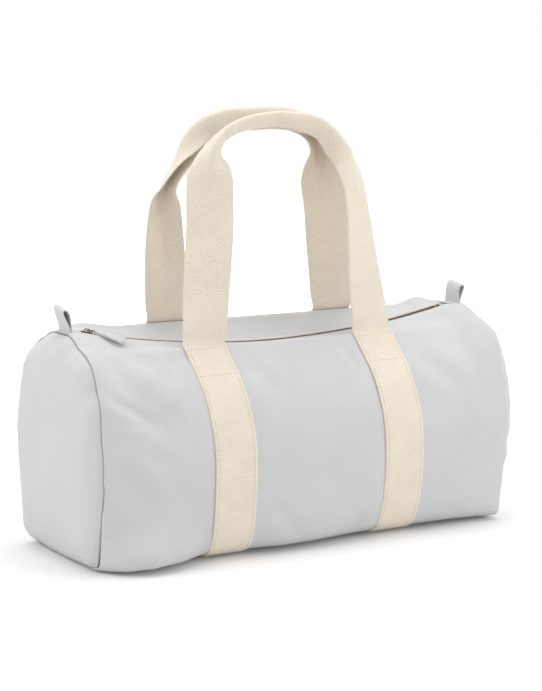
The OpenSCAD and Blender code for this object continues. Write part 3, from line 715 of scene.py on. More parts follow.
# With seams set, the canvas gets painted shade along its end seams
def canvas_material(name, colour, pitch, seams=False):
    mat, tree, bsdf = new_material(name, colour, 0.92, Sheen_Weight=0.15, Sheen_Roughness=0.5,
                                   Specular_IOR_Level=0.2)
    uv, u, v = cloth_coordinates(tree, pitch * 0.8, 60)
    threads = weave(tree, u, v, pitch, pitch)
    warp_slubs = streaks(tree, uv, (1100, 60, 1))
    weft_slubs = streaks(tree, uv, (60, 1100, 1))
    slubs = calc(tree, "ADD", warp_slubs, weft_slubs)
    clouds = noise_at(tree, uv, 14, 4, 0.6)
    height = calc(tree, "MULTIPLY_ADD", slubs, 1.2, threads)
    shade = calc(tree, "MULTIPLY_ADD", slubs, 0.55, calc(tree, "MULTIPLY", clouds, 0.9))
    shade = calc(tree, "SUBTRACT", shade, 0.5)
    dark = [c * 0.93 for c in colour]
    light = [min(1, c * 1.05) for c in colour]
    cloth_colour = tinted(tree, shade, dark, light)
    tree.links.new(bumped(tree, height, 0.00012, 0.55), bsdf.inputs["Normal"])
    tree.links.new(cloth_colour, bsdf.inputs["Base Color"])
    if not seams:
        return mat
    # Painted shade: the cloth's colour is darkened along each end seam, where the canvas turns in
    # and lies in shade
    x = add_node(tree, "ShaderNodeSeparateXYZ", {"Vector": object_place(tree)}).outputs[0]
    body = bpy.context.scene.bag_body
    off_seam = calc(tree, "ABSOLUTE", calc(tree, "SUBTRACT", calc(
        tree, "ABSOLUTE", x), body.length / 2))
    clear = add_node(tree, "ShaderNodeMapRange", {
        "Value": off_seam, "From Min": body.seam_line * 0.5, "From Max": body.seam_line})
    painted_seam_shade = add_node(tree, "ShaderNodeVectorMath", operation="SCALE")
    tree.links.new(cloth_colour, painted_seam_shade.inputs[0])
    tree.links.new(calc(tree, "MULTIPLY_ADD", clear.outputs[0], 1 - body.seam_shade,
                        body.seam_shade), painted_seam_shade.inputs["Scale"])
    tree.links.new(painted_seam_shade.outputs[0], bsdf.inputs["Base Color"])
    return mat


def webbing_material(name, colour, shade_colour, pitch_u, pitch_v):
    mat, tree, bsdf = new_material(name, colour, 0.9, Sheen_Weight=0.2, Sheen_Roughness=0.5,
                                   Specular_IOR_Level=0.2)
    uv, u, v = cloth_coordinates(tree, pitch_u * 1.1, 260)
    threads = calc(tree, "MULTIPLY_ADD", weave(tree, u, v, pitch_u, pitch_v), 0.5, 0.5)
    ribs = calc(tree, "ABSOLUTE", calc(tree, "SINE", calc(
        tree, "MULTIPLY", v, math.pi / pitch_v)))
    height = calc(tree, "MULTIPLY_ADD", ribs, 0.35, threads)
    fibres = streaks(tree, uv, (2400, 500, 1))
    clouds = noise_at(tree, uv, 22, 3, 0.6)
    speckles = streaks(tree, uv, (900, 760, 1), 1)
    # The colour runs from the shade colour to the threads' colour. This is painted shade where the
    # weave lies low and a painted highlight where it stands high, and the fibres, clouds and
    # speckles add random flecks
    shade = calc(tree, "MULTIPLY_ADD", height, 0.6, calc(tree, "MULTIPLY", fibres, 0.35))
    shade = calc(tree, "MULTIPLY_ADD", clouds, 0.35, shade)
    shade = calc(tree, "MULTIPLY_ADD", speckles, 0.8, shade)
    shade = calc(tree, "SUBTRACT", shade, 0.47)
    tree.links.new(tinted(tree, shade, shade_colour, colour), bsdf.inputs["Base Color"])
    rough = calc(tree, "MULTIPLY_ADD", fibres, 0.5, height)
    tree.links.new(bumped(tree, rough, 0.0005, 0.6), bsdf.inputs["Normal"])
    return mat


def thread_material(name, colour):
    mat, tree, bsdf = new_material(name, colour, 0.8, Sheen_Weight=0.2)
    fibres = streaks(tree, object_place(tree), (900, 900, 900))
    tree.links.new(tinted(tree, fibres, [c * 0.86 for c in colour], colour),
                   bsdf.inputs["Base Color"])
    tree.links.new(bumped(tree, fibres, 0.0001, 0.5), bsdf.inputs["Normal"])
    return mat


def bronze_material(name, colour, bright):
    mat, tree, bsdf = new_material(name, colour, 0.52, Metallic=1.0)
    place = object_place(tree)
    worn = noise_at(tree, place, 700, 4, 0.6)
    ramp = tree.nodes.new("ShaderNodeValToRGB")
    ramp.color_ramp.elements[0].position, ramp.color_ramp.elements[1].position = 0.42, 0.66
    ramp.color_ramp.elements[0].color = (*colour, 1)
    ramp.color_ramp.elements[1].color = (*bright, 1)
    tree.links.new(worn, ramp.inputs[0])
    tree.links.new(ramp.outputs[0], bsdf.inputs["Base Color"])
    scratches = streaks(tree, place, (300, 2500, 2500))
    tree.links.new(bumped(tree, scratches, 0.00005, 0.35), bsdf.inputs["Normal"])
    return mat


MATERIALS = {}


def material(slot):
    """The finish of a slot, made when it is first asked for."""
    colours, weave_sizes = bpy.context.scene.bag_colours, bpy.context.scene.bag_weave
    makers = {
        "canvas": lambda: canvas_material("canvas", colours.canvas, weave_sizes.canvas, True),
        # Painted light: the end panels' copy of the canvas, a little lighter
        "end_canvas": lambda: canvas_material("end_canvas", colours.end_canvas,
                                              weave_sizes.canvas, True),
        "plain_canvas": lambda: canvas_material("plain_canvas", colours.canvas,
                                                weave_sizes.canvas),
        "webbing": lambda: webbing_material("webbing", colours.webbing, colours.webbing_shade,
                                            weave_sizes.column, weave_sizes.rib),
        "thread": lambda: thread_material("thread", colours.thread),
        "canvas_thread": lambda: thread_material("canvas_thread", colours.canvas),
        "tape": lambda: canvas_material("tape", colours.tape, weave_sizes.tape),
        "bronze": lambda: bronze_material("bronze", colours.bronze, colours.bronze_worn),
    }
    if slot not in MATERIALS:
        MATERIALS[slot] = makers[slot]()
    return MATERIALS[slot]


def dressed(obj, slot, nodes=(), finish=None):
    """Gives a piece its finish, which is the slot's own unless another is named, and hides the
    nodes that it stands for.
    """
    obj.data.materials.clear()
    obj.data.materials.append(material(finish or slot))
    if nodes:
        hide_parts(*nodes)
    return obj


def cloth(obj):
    """Reads a piece's cloth coordinates."""
    uv = np.zeros(len(obj.data.loops) * 2)
    obj.data.uv_layers["cloth"].data.foreach_get("uv", uv)


# Canvas

def make_barrel(shape):
    """The canvas of the front, the base and the back, in one sheet."""
    xs = seam_columns(-shape.half, shape.half, -shape.half, shape.half)
    p, n = shape.skin(xs)
    rows = BARREL_ROWS
    barrel = cloth_sheet("barrel_canvas", p[:, rows], shape.body.canvas_thickness,
                         normals=n[:, rows])
    dressed(barrel, "canvas", ("barrel_panel",))
    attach(barrel, "bag")
    cloth(barrel)
    return barrel


def end_rim(shape, side):
    """The end seam's closed outline, as points [y, z]."""
    x = side * shape.half
    p, _ = shape.skin(np.array([x - side * COLUMN_STEP, x])[::side])
    i = 1 if side > 0 else 0
    yz = p[i, :, 1:]
    gap = np.linalg.norm(yz[0] - yz[-1])
    count = max(2, int(gap / COLUMN_STEP))
    bridge = [lerp(yz[-1], yz[0], t) for t in np.linspace(0, 1, count + 1)[1:-1]]
    return np.concatenate([yz, bridge])


# How far an end panel bulges from its seam to its middle: share of the way and of the bulge.
# The seam turns in over a share of the way, the cloth is smooth over another, and the shares of
# the canvas's unevenness and, high on the right end, of the bulge follow
BULGE_SHARES = ((0.0, 0.0), (0.03, 0.24), (0.09, 0.55), (0.18, 0.76), (0.36, 0.91),
                (0.60, 0.98), (1.0, 1.0))
SEAM_SHARE = 0.03
CALM_SHARE = 0.12
END_LUMPS = 0.9
END_PUCKERS = 1.2
HIGH_BULGE = 1.1
HIGH_Z = 0.15


def make_end(shape, side, name, node):
    """An end panel, in rings from its seam to its middle."""
    body = shape.body
    rim = end_rim(shape, side)
    centre = np.array([0, body.height / 2])
    shares = np.concatenate([1 - np.linspace(0, 1, 7) ** 2 * SEAM_SHARE,
                             np.linspace(0.965, 0.02, 40)])
    inward = [place for place, _ in BULGE_SHARES]
    rings = []
    for s in shares:
        yz = centre + (rim - centre) * s
        depth = float(curve(BULGE_SHARES, np.interp(1 - s, inward, range(len(inward))))[1])
        full = (lerp(body.right_low_bulge, HIGH_BULGE, smooth(yz[:, 1] / HIGH_Z))
                if side > 0 else 1)
        out = body.seam_turn * math.sqrt(1 - (1 - min(1, (1 - s) / SEAM_SHARE)) ** 2)
        out = out + body.end_bulge * depth * full
        angle = np.arctan2(yz[:, 1] - centre[1], yz[:, 0])
        calm = smooth((1 - s) / CALM_SHARE)
        soft = body.lumps * END_LUMPS * ripple(yz[:, 0], yz[:, 1], 11 + side, END_LUMP) * calm
        puckers = body.pucker * END_PUCKERS * hump(1 - s - 0.05, 0.06) * ripple(
            angle * 0.1, angle * 0, 17 + side, PUCKER)
        x = side * (shape.half + out + soft + puckers)
        rings.append(np.column_stack([x, yz]))
    outer = np.array(rings)
    n, m = outer.shape[:2]
    inner = outer - np.array([side * body.canvas_thickness, 0, 0])
    tips = [outer[-1].mean(0), inner[-1].mean(0)]
    k = n * m
    faces = grid_faces(n, m, wrap=True) + grid_faces(n, m, base=k, wrap=True)
    faces += [(j, (j + 1) % m, k + (j + 1) % m, k + j) for j in range(m)]
    last = (n - 1) * m
    faces += [(last + j, last + (j + 1) % m, 2 * k) for j in range(m)]
    faces += [(k + last + j, k + last + (j + 1) % m, 2 * k + 1) for j in range(m)]
    verts = np.concatenate([outer.reshape(-1, 3), inner.reshape(-1, 3), tips])
    panel = new_object(name, verts, faces, verts[:, 1:], CLOTH_EDGE)
    dressed(panel, "end_canvas", (node,))
    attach(panel, "bag")
    cloth(panel)
    return panel


def top_rows(side):
    """Rows of the section from a fold to the canvas edge at the zip."""
    return np.arange(FRONT_CREST, -1, -1) if side < 0 else np.arange(REAR_CREST, ROWS)


def top_piece(shape, name, xs, side):
    """Canvas of the top on one side of the zip."""
    p, n = shape.skin(xs)
    rows = top_rows(side)
    return cloth_sheet(name, p[:, rows], shape.body.canvas_thickness, normals=n[:, rows])


# A flap's points over the zip, and its raise and thickness in thicknesses of the canvas
FLAP_COLUMNS = 8
FLAP_RAISE = 0.8
FLAP_LAYERS = 1.6


def make_fixed_tops(shape):
    """The canvas beside and beyond each end of the zip."""
    z = shape.zip
    for side, name in ENDS:
        lip_end = z.lip_left_x if side < 0 else z.lip_right_x
        x0, x1 = side * shape.flap_x, side * lip_end
        xs = columns(x0, x1)
        parts = [top_piece(shape, f"{name}_top_{row}", xs, row) for row in (-1, 1)]
        end = side * shape.half
        xs = seam_columns(x0, end, end)
        p, _ = shape.skin(xs)
        front, rear = top_rows(-1), top_rows(1)
        share = np.linspace(0, 1, FLAP_COLUMNS)[None, 1:-1, None]
        bridge = lerp(p[:, front[-1]][:, None], p[:, rear[-1]][:, None], share)
        across = np.concatenate([p[:, front], bridge, p[:, rear[::-1]]], 1)
        over_zip = smooth((z.flap_reach - np.abs(across[..., 1])) / z.flap_ease)
        across[..., 2] += shape.body.canvas_thickness * FLAP_RAISE * over_zip
        normals = np.cross(np.gradient(across, axis=0), np.gradient(across, axis=1))
        parts.append(cloth_sheet(f"{name}_flap", across, shape.body.canvas_thickness * FLAP_LAYERS,
                                 normals=unit(normals)))
        top = joined(f"{name}_top_canvas", parts)
        dressed(top, "canvas", (f"{name}_front_top", f"{name}_rear_top", f"{name}_end_flap"))
        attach(top, "bag")
        across_top = 2 * float(np.linalg.norm(np.diff(p[0, front], axis=0), axis=1).sum())
        across_top += 2 * z.edge_wide
        cloth(top)


def lip_halves(shape):
    """The halves of both lips: the lip's name and side, the half's name, where it starts, where
    it ends, and where it bends in full."""
    z = shape.zip
    middle = (z.lip_right_x - z.lip_left_x) / 2
    return [(name, side, half, start, middle, start + reach) for name, side in LIPS
            for half, start, reach in (("left", -z.lip_left_x, z.lip_reach),
                                       ("right", z.lip_right_x, -z.lip_reach))]


def along_lip(piece):
    """Bakes a lip piece's place into its mesh."""
    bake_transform(piece)


def make_lips(shape):
    """The canvas that folds back on each side of the open zip."""
    for name, side, half, start, middle, full in lip_halves(shape):
        lip = top_piece(shape, f"{name}_lip_{half}", columns(start, middle), side)
        dressed(lip, "canvas", (f"{name}_lip",))
        along_lip(lip)
        cloth(lip)


def make_bindings(shape):
    """Woven tape inside the bag along each end seam."""
    for side, name in ENDS:
        x = side * shape.half
        xs = columns(x - side * shape.body.seam_allowance, x - side * shape.body.binding_width)
        p, n = shape.skin(xs)
        rows = BARREL_ROWS
        inside = p[:, rows] - n[:, rows] * (shape.body.canvas_thickness + shape.body.gap)
        tape = cloth_sheet(f"{name}_seam_tape", inside, shape.body.binding_thickness,
                           normals=n[:, rows])
        dressed(tape, "tape", (f"{name}_end_binding",))
        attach(tape, "bag")
        cloth(tape)


# Webbing

def strap_grid(shape, centre, lift):
    """Middle of a strap as a grid that runs along it and across it, and its normals."""
    w = shape.webbing
    inset = w.width / 2 - w.thickness / 2
    xs = np.linspace(centre - inset, centre + inset, w.columns)
    p, n = shape.skin(xs)
    rows = BARREL_ROWS
    p, n = p[:, rows], n[:, rows]
    # Webbing spans small hollows, so its normals are evened out across it
    n = np.broadcast_to(n.mean(0)[None], n.shape)
    lying = np.broadcast_to(p.mean(0)[None], p.shape).copy()
    front = np.clip(np.arange(lying.shape[1]) / SIDE_ROWS, 0, 1)
    lying[..., 0] = p[..., 0] + w.strap_bow * np.sin(math.pi * front)
    return (lying + n * lift).transpose(1, 0, 2), n.transpose(1, 0, 2)


def make_straps(shape):
    """Webbing round the barrel under the handles."""
    w = shape.webbing
    for side, name in ENDS:
        middle, n = strap_grid(shape, side * w.strap_x, shape.body.gap + w.thickness / 2)
        k = w.foot_rows
        strap = band(f"{name}_girth_strap", middle[k:-k], n[k:-k], w.thickness)
        dressed(strap, "webbing", (f"{name}_strap",))
        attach(strap, "bag")
        cloth(strap)


# How the webbing of a handle lies: places along the handle's path, from its left foot at 0 to its
# right foot at 16, the fold and its turn in degrees, and shifts out from the path and away from
# the zip in millimetres
FRONT_LAY = ((0, 0, 0, 0, 0), (1, 0, 16, 0, 0), (2, 0, 24, -2, 0), (3, 0, 25, -2, 0),
             (3.6, 4, 25, -2, 0), (4.2, 34, 24, -2, 0), (4.6, 56, 22, -1, 0),
             (5.2, 77, 20, 0, 0), (5.8, 84, 18, 3, 0), (6.4, 84, 18, 6, 0), (8, 84, 17, 9, 0),
             (9.4, 84, 20, 6, 0), (10, 84, 25, 0, 0), (10.5, 70, 28, -4, 0),
             (11, 55, 30, -3, 0), (11.5, 38, 30, 1, 0), (12, 22, 30, 3, 0), (13, 6, 30, 6, 0),
             (14, 0, 28, 6, 0), (15, 0, 12, 1, 0), (16, 0, 0, 0, 0))
REAR_LAY = ((0, 0, 0, 0, 0), (0.5, 3, 0, 3, 1), (0.85, 8, 0, 4.5, 1), (1.3, 20, -2, 7, 3),
            (1.7, 38, -4, 9, 4), (2.4, 56, -10, 10.5, 4), (3.2, 80, -12, 10.5, 3),
            (4.2, 84, -8, 4, 2), (4.8, 84, 15, 0, 1), (5.4, 84, 50, 0, 0), (6.2, 84, 85, 0, 0),
            (8, 84, 90, -1.5, 0), (9.4, 84, 88, 2, 0), (10, 84, 75, 6, 0), (10.6, 82, 50, 8, 0),
            (11.2, 68, 25, 5, 0), (11.8, 40, 18, 0, 0), (12.5, 10, 20, -4, 0),
            (13.5, 0, 22, -5, 0), (14.3, 0, 18, -4, 0), (15.2, 0, 6, -2, 0), (16, 0, 0, 0, 0))


def keyed(table, s, width):
    """Columns of a table at the places s, evened out over the width."""
    places, *values = zip(*table)
    shifts = np.linspace(-width, width, 21)
    weights = 1 - np.abs(shifts / width) * 0.999
    return [sum(np.interp(s + d, places, column) * k for d, k in zip(
        shifts, weights)) / weights.sum() for column in values]


class Handle:
    """One handle's middle line and cross sections, in a frame at its foot."""

    FOLD_STEPS = 60
    PATH_STEPS = 400
    HEADING_REACH = 0.05

    def __init__(self, shape, front):
        w = shape.webbing
        self.w, self.front = w, front
        self.height = w.front_height if front else w.rear_height
        self.bend_x = w.front_bend_x if front else w.rear_bend_x
        self.shift = w.front_shift if front else w.rear_shift
        arch = FRONT_ARCH_SHARES if front else REAR_ARCH_SHARES
        self.rise = self.height - w.width / 4
        mid = w.leg_mid_share
        self.points = [(w.strap_x, 0),
                       (lerp(w.strap_x, self.bend_x, mid), w.leg_height * mid),
                       (self.bend_x, w.leg_height)]
        self.points += [(self.bend_x * a, lerp(w.leg_height, self.rise, b)) for a, b in arch]
        self.top = len(self.points) - 1
        fold = shape.outline(w.strap_x, -1 if front else 1, float(LAST))
        out = shape.body.gap + w.thickness
        self.foot = Vector((0, abs(fold[0]) + out / 2, fold[1] + out / 2))
        self.lean = math.asin((self.foot[1] - w.top_y) / self.height)
        self.lay = FRONT_LAY if front else REAR_LAY

    def path(self, s):
        """The handle's line at the places s, from one foot at 0 over its top to the other."""
        s = np.asarray(s, float)
        t = np.where(s <= self.top, s, 2 * self.top - s)
        p = curve(self.points, np.clip(t, 0, self.top))
        hand = np.where(s <= self.top, -1, 1)
        return np.stack([hand * p[..., 0] + self.shift * p[..., 1] / self.rise, p[..., 1]], -1)

    def heading(self, line, s):
        """Direction of a line at the places s."""
        e = self.HEADING_REACH
        return unit(line(np.minimum(s + e, 2 * self.top)) - line(np.maximum(s - e, 0)))

    def middle(self, s):
        """The webbing's own middle line: the path with its shifts outwards."""
        d = self.heading(self.path, s)
        out = keyed(self.lay, s, self.w.fold_ease)[2] * MM
        return self.path(s) + np.stack([-d[:, 1], d[:, 0]], -1) * out[:, None]

    def places(self, s0, s1, step):
        """Places along the path about a step apart."""
        fine = np.linspace(s0, s1, self.PATH_STEPS)
        p = self.path(fine)
        run = run_length(p)
        count = max(3, int(run[-1] / step) + 1)
        return np.interp(np.linspace(0, run[-1], count), run, fine)

    def grid(self, s):
        """Middle of the webbing at the places s, as a grid, and its normals."""
        w = self.w
        c, d = self.middle(s), self.heading(self.middle, s)
        fold, turn, _, bow = keyed(self.lay, s, w.fold_ease)
        fold, turn = np.radians(fold), np.radians(turn)
        zero = np.zeros_like(s)
        up = np.stack([-d[:, 1], zero, d[:, 0]], -1)
        face = np.stack([zero, -np.cos(turn), zero], -1) + np.sin(turn)[:, None] * up
        wide = np.cos(turn)[:, None] * up + np.stack([zero, np.sin(turn), zero], -1)
        half = w.width / 2 - w.thickness / 2
        r = np.linspace(-half, half, w.columns)
        fine = np.linspace(0, half, self.FOLD_STEPS)
        a, b, slope = [], [], []
        for f in fold:
            # the fold's line, from the ridge to an edge, is summed up from its slope
            bend = f * np.tanh(fine / w.ridge_radius)
            mean = (bend[1:] + bend[:-1]) / 2
            across, drop = (np.append(0, np.cumsum(k(mean))) * fine[1] for k in (np.cos, np.sin))
            a.append(np.interp(np.abs(r), fine, across) * np.sign(r))
            b.append(np.interp(np.abs(r), fine, drop))
            slope.append(np.interp(np.abs(r), fine, bend) * np.sign(r))
        a, b, slope = map(np.array, (a, b, slope))
        mid = np.stack([c[:, 0], -bow * MM, c[:, 1]], -1)
        mid += face * (w.width / 4 * np.sin(fold))[:, None]
        p = (mid[:, None] + wide[:, None] * a[..., None] - face[:, None] * b[..., None])
        n = (face[:, None] * np.cos(slope)[..., None] + wide[:, None] * np.sin(slope)[..., None])
        return self.placed(p), self.turned(n)

    def turned(self, v):
        """Turns a direction from the handle's frame to the bag's."""
        c, s = math.cos(self.lean), math.sin(self.lean)
        x, y, z = v[..., 0], v[..., 1], v[..., 2]
        # A handle leans towards the zip, and the rear one is the front one's mirror image
        y, z = y * c + z * s, z * c - y * s
        return np.stack([x, y if self.front else -y, z], -1)

    def placed(self, p):
        """Turns points from the handle's frame to the bag's, and takes them to its foot."""
        q = self.turned(p)
        q[..., 1] += -self.foot.y if self.front else self.foot.y
        q[..., 2] += self.foot.z
        return q


def on_strap(shape, handle, hand, p, n):
    """A leg's grid, run down in one bend onto its strap. A left leg starts at its foot."""
    w = shape.webbing
    if hand > 0:
        p, n = p[::-1], n[::-1]
    strap, out = strap_grid(shape, hand * w.strap_x, shape.body.gap + w.thickness / 2)
    if not handle.front:
        strap, out = strap[::-1], out[::-1]
    k = w.foot_rows
    low, low_out = strap[[k, k - 1]], out[[k, k - 1]]
    if hand < 0:
        low, low_out = low[:, ::-1], low_out[:, ::-1]
    high = p[:, w.columns // 2, 2] > handle.foot.z + w.foot_lift
    p, n = p[high], n[high]
    reach = np.linalg.norm(p[0] - low[1], axis=1, keepdims=True)
    leave, arrive = unit(low[1] - low[0]) * reach, unit(p[1] - p[0]) * reach
    count = max(4, int(reach.max() / w.row_step) + 1)
    t = (np.arange(1, count) / count)[:, None, None]
    bend = ((2 * t**3 - 3 * t**2 + 1) * low[1] + (t**3 - 2 * t**2 + t) * leave
            + (3 * t**2 - 2 * t**3) * p[0] + (t**3 - t**2) * arrive)
    p = np.concatenate([low, bend, p])
    made = unit(np.cross(np.gradient(p, axis=0), np.gradient(p, axis=1)))
    made *= np.sign((made[1 + count:] * n).sum())
    made[0] = low_out[0]
    return (p[::-1], made[::-1]) if hand > 0 else (p, made)


def make_handle(shape, front):
    """Two legs that bend at the fold of the bag, and the grip between them."""
    w = shape.webbing
    handle = Handle(shape, front)
    name = "front" if front else "rear"
    split = w.split_share * 2
    far = 2 * handle.top
    for side, hand, s0, s1 in (("left", -1, 0, split), ("right", 1, far - split, far)):
        p, n = handle.grid(handle.places(s0, s1, w.row_step))
        p, n = on_strap(shape, handle, hand, p, n)
        leg = band(f"{name}_{side}_leg_webbing", p, n, w.thickness)
        dressed(leg, "webbing", (f"{name}_{side}_leg",))
        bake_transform(leg)
        cloth(leg)
    p, n = handle.grid(handle.places(split, far - split, w.row_step))
    grip = band(f"{name}_grip_webbing", p, n, w.thickness)
    dressed(grip, "webbing", (f"{name}_grip",))
    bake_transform(grip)
    cloth(grip)


TAB_ROWS = 30
TAB_COLUMNS = 13


def make_tabs():
    """Loops of canvas that stand on the top at each end."""
    tabs = bpy.context.scene.bag_tabs
    for side, name, height in ((-1, "left", tabs.left_height), (1, "right", tabs.right_height)):
        low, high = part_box(f"{name}_tab")
        centre = (low + high) / 2
        half_gap, t = tabs.gap / 2, tabs.thickness
        rise = height - half_gap - t
        # Half of the loop's outline, from its foot to its top, as [x, z]
        foot = [(t * 0.55, -0.001), (t * 0.6, rise * 0.16), (half_gap * 0.75, rise * 0.45),
                (half_gap + t / 2, rise * 0.82), (half_gap * 0.9 + t / 2, rise + half_gap * 0.45),
                (half_gap * 0.45, rise + half_gap * 0.95 + t / 2),
                (0, rise + half_gap + t / 2)]
        line = curve(foot, np.linspace(0, len(foot) - 1, TAB_ROWS))
        loop = np.concatenate([line * (-1, 1), line[::-1][1:]])
        tangent = unit(np.gradient(loop, axis=0))
        normal = np.stack([-tangent[:, 1], tangent[:, 0]], -1)
        width = tabs.width / 2 - t / 2
        ys = np.linspace(-width, width, TAB_COLUMNS)
        grid, normals = [], []
        for (x, z), (nx, nz) in zip(loop, normal):
            share = min(1, max(0, z / height))
            spread = 1 - tabs.taper * share
            lean = side * tabs.lean * share**1.5
            grid.append([(centre.x + side * tabs.shift + x + lean + tabs.twist * share * y / width,
                          y * spread, low.z + z + tabs.slope * share * y) for y in ys])
            normals.append([(nx, 0, nz)] * len(ys))
        loop_band = band(f"{name}_tab_loop", np.array(grid), np.array(normals), t)
        dressed(loop_band, "canvas", (f"{name}_tab",), "plain_canvas")
        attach(loop_band, "bag")
        cloth(loop_band)


# Zip

UP = np.array([0, 0, 1.0])
TAPE_COLUMNS = 6


def chain_line(shape, x0, x1, y, count, lift=0.0):
    """Points along the chain at y, a lift above its middle."""
    angles = np.linspace(shape.chain_angle(x0), shape.chain_angle(x1), count)
    r = shape.chain_r - lift
    return np.column_stack([r * np.sin(angles), np.full(count, y),
                            shape.chain_centre_z - r * np.cos(angles)])


def tape_piece(shape, name, side, x0, x1, inner=None, outer=None):
    """A strip of tape along the chain, a whole tape wide unless its edges are given."""
    z = shape.zip
    if inner is None:
        inner, outer = shape.tape_in, shape.tape_in + z.tape_width
    count = max(3, int(abs(x1 - x0) / COLUMN_STEP))
    rows = [chain_line(shape, min(x0, x1), max(x0, x1), side * y, count, z.tape_thickness / 2)
            for y in np.linspace(inner, outer, TAPE_COLUMNS)]
    grid = np.stack(rows if side < 0 else rows[::-1], 1)
    return cloth_sheet(name, grid, z.tape_thickness, uv=grid[..., :2],
                       normals=np.broadcast_to(UP, grid.shape))


def make_tapes(shape):
    """The zip's tapes: those of the lips, and those that stay at both ends."""
    z = shape.zip
    end_x = z.closed_x + z.slider_length * z.end_share
    for name, side, half, start, middle, full in lip_halves(shape):
        tape = tape_piece(shape, f"{name}_tape_{half}", side, start, middle)
        dressed(tape, "tape", (f"{name}_tape",))
        along_lip(tape)
        cloth(tape)
    for name, x0, x1 in (("left", -end_x, -z.lip_left_x), ("right", z.lip_right_x, end_x)):
        parts = [tape_piece(shape, f"{name}_tape_{side}", side, x0, x1) for side in (-1, 1)]
        # A strip of tape closes the zip's end
        limit = -z.closed_x if x0 < 0 else z.open_x
        a, b = sorted((limit + math.copysign(z.end_strip, limit), x0 if x0 < 0 else x1))
        parts.append(tape_piece(shape, f"{name}_tape_end", 1, a, b, -shape.tape_in,
                                shape.tape_in))
        tape = joined(f"{name}_end_tapes", parts)
        dressed(tape, "tape", (f"{name}_zip_tapes",))
        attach(tape, "bag")
        cloth(tape)


def tooth_object(shape, side):
    """One tooth, with its head at the zip's middle line and its legs round the tape."""
    z = shape.zip
    w, l, h = z.tooth_pitch * z.tooth_share / 2, z.tooth_length, z.tooth_height / 2
    # Outline along the tooth: distance from its head, half width share, half height share
    stations = ((0, 0.55, 0.45), (0.12, 0.9, 0.72), (0.3, 1.0, 0.8), (0.45, 0.72, 0.86),
                (0.62, 0.86, 1.0), (0.9, 0.86, 1.0), (1.0, 0.7, 0.8))
    ring = ((1, 0.6), (0.6, 1), (-0.6, 1), (-1, 0.6), (-1, -0.6), (-0.6, -1), (0.6, -1),
            (1, -0.6))
    verts = [(w * a * wide, side * (z.tooth_gap + l * t), h * b * high)
             for t, wide, high in stations for a, b in ring]
    return new_object("tooth", verts, capped_faces(len(stations), len(ring)))


def teeth_row(shape, name, side, x0, x1, low, high, shift):
    """Teeth from x0 towards x1, the first one shift pitches on, as far as they lie in a range."""
    z = shape.zip
    start, reach = shape.chain_angle(x0), shape.chain_angle(x1) - shape.chain_angle(x0)
    step = math.copysign(z.tooth_pitch / shape.chain_r, reach)
    angles = start + (np.arange(math.floor(reach / step)) + shift) * step
    xs = np.sort(shape.chain_r * np.sin(angles))
    xs = xs[(xs > low) & (xs < high)]
    line = chain_line(shape, xs[0], xs[-1], 0, len(xs))
    tooth = tooth_object(shape, side)
    tree = bpy.data.node_groups.get("Zip teeth") or teeth_tree()
    row = grown(name, polylines(name + "_line", [line]), tree, {
        "Count": len(xs), "Tooth": tooth, "Material": material("bronze")})
    bpy.data.objects.remove(tooth)
    return row


def make_teeth(shape):
    """The zip's teeth: those of the lips, and those that stay at both ends."""
    z = shape.zip
    far = shape.half
    for name, side, half, start, middle, full in lip_halves(shape):
        low, high = (-far, middle) if half == "left" else (middle, far)
        row = teeth_row(shape, f"{name}_teeth_{half}", side, -z.lip_left_x, z.lip_right_x,
                        low, high, 0.5 if side < 0 else 1)
        dressed(row, "bronze", (f"{name}_teeth",))
        along_lip(row)
    left = z.closed_x + z.slider_length / 2
    right = z.open_x + z.slider_length / 2 + z.tooth_pitch / 2
    for name, x0, x1 in (("left", -z.lip_left_x, -left), ("right", z.lip_right_x, right)):
        rows = [teeth_row(shape, f"{name}_row_{side}", side, x0, x1, -far, far, shift)
                for side, shift in ((-1, 1), (1, 0.5))]
        fixed = joined(f"{name}_fixed_teeth", rows)
        dressed(fixed, "bronze", (f"{name}_zip_teeth",))
        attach(fixed, "bag")
    for node in ("top_stops", "bottom_stop"):
        stop = frame["nodes"][node]
        stop.data.materials.clear()
        stop.data.materials.append(material("bronze"))


def slider_matrix(shape):
    """The closed slider's frame: X along the chain, Z out of the bag, origin on the chain."""
    angle = float(shape.chain_angle(-shape.zip.closed_x))
    centre = Matrix.Translation((0, 0, shape.chain_centre_z))
    return (centre @ Matrix.Rotation(-angle, 4, "Y")
            @ Matrix.Translation((0, 0, -shape.chain_r)))


def plate(outline, z0, z1, bevel):
    """A flat plate with rounded edges, as a bmesh."""
    bm = bmesh.new()
    bottom = bm.faces.new([bm.verts.new((x, y, z0)) for x, y in outline])
    moved = bmesh.ops.extrude_face_region(bm, geom=[bottom])
    top = [v for v in moved["geom"] if isinstance(v, bmesh.types.BMVert)]
    bmesh.ops.translate(bm, verts=top, vec=(0, 0, z1 - z0))
    bmesh.ops.recalc_face_normals(bm, faces=bm.faces)
    bmesh.ops.bevel(bm, geom=list(bm.edges), offset=bevel, segments=2, profile=0.5,
                    affect="EDGES", clamp_overlap=True)
    return bm


def wire(name, points, radius, sides=14):
    """A round wire along the points, of one radius or of one for each point."""
    p = np.asarray(points, float)
    n = len(p)
    d = unit(np.gradient(p, axis=0))
    a = unit(np.cross(d, UP))
    b = np.cross(a, d)
    turns = np.linspace(0, 2 * math.pi, sides, endpoint=False)
    radii = np.broadcast_to(np.asarray(radius, float), (n,))
    rings = [p[i] + radii[i] * (np.cos(turns)[:, None] * a[i] + np.sin(turns)[:, None] * b[i])
             for i in range(n)]
    return new_object(name, np.concatenate(rings), capped_faces(n, sides), None, WIRE_EDGE)


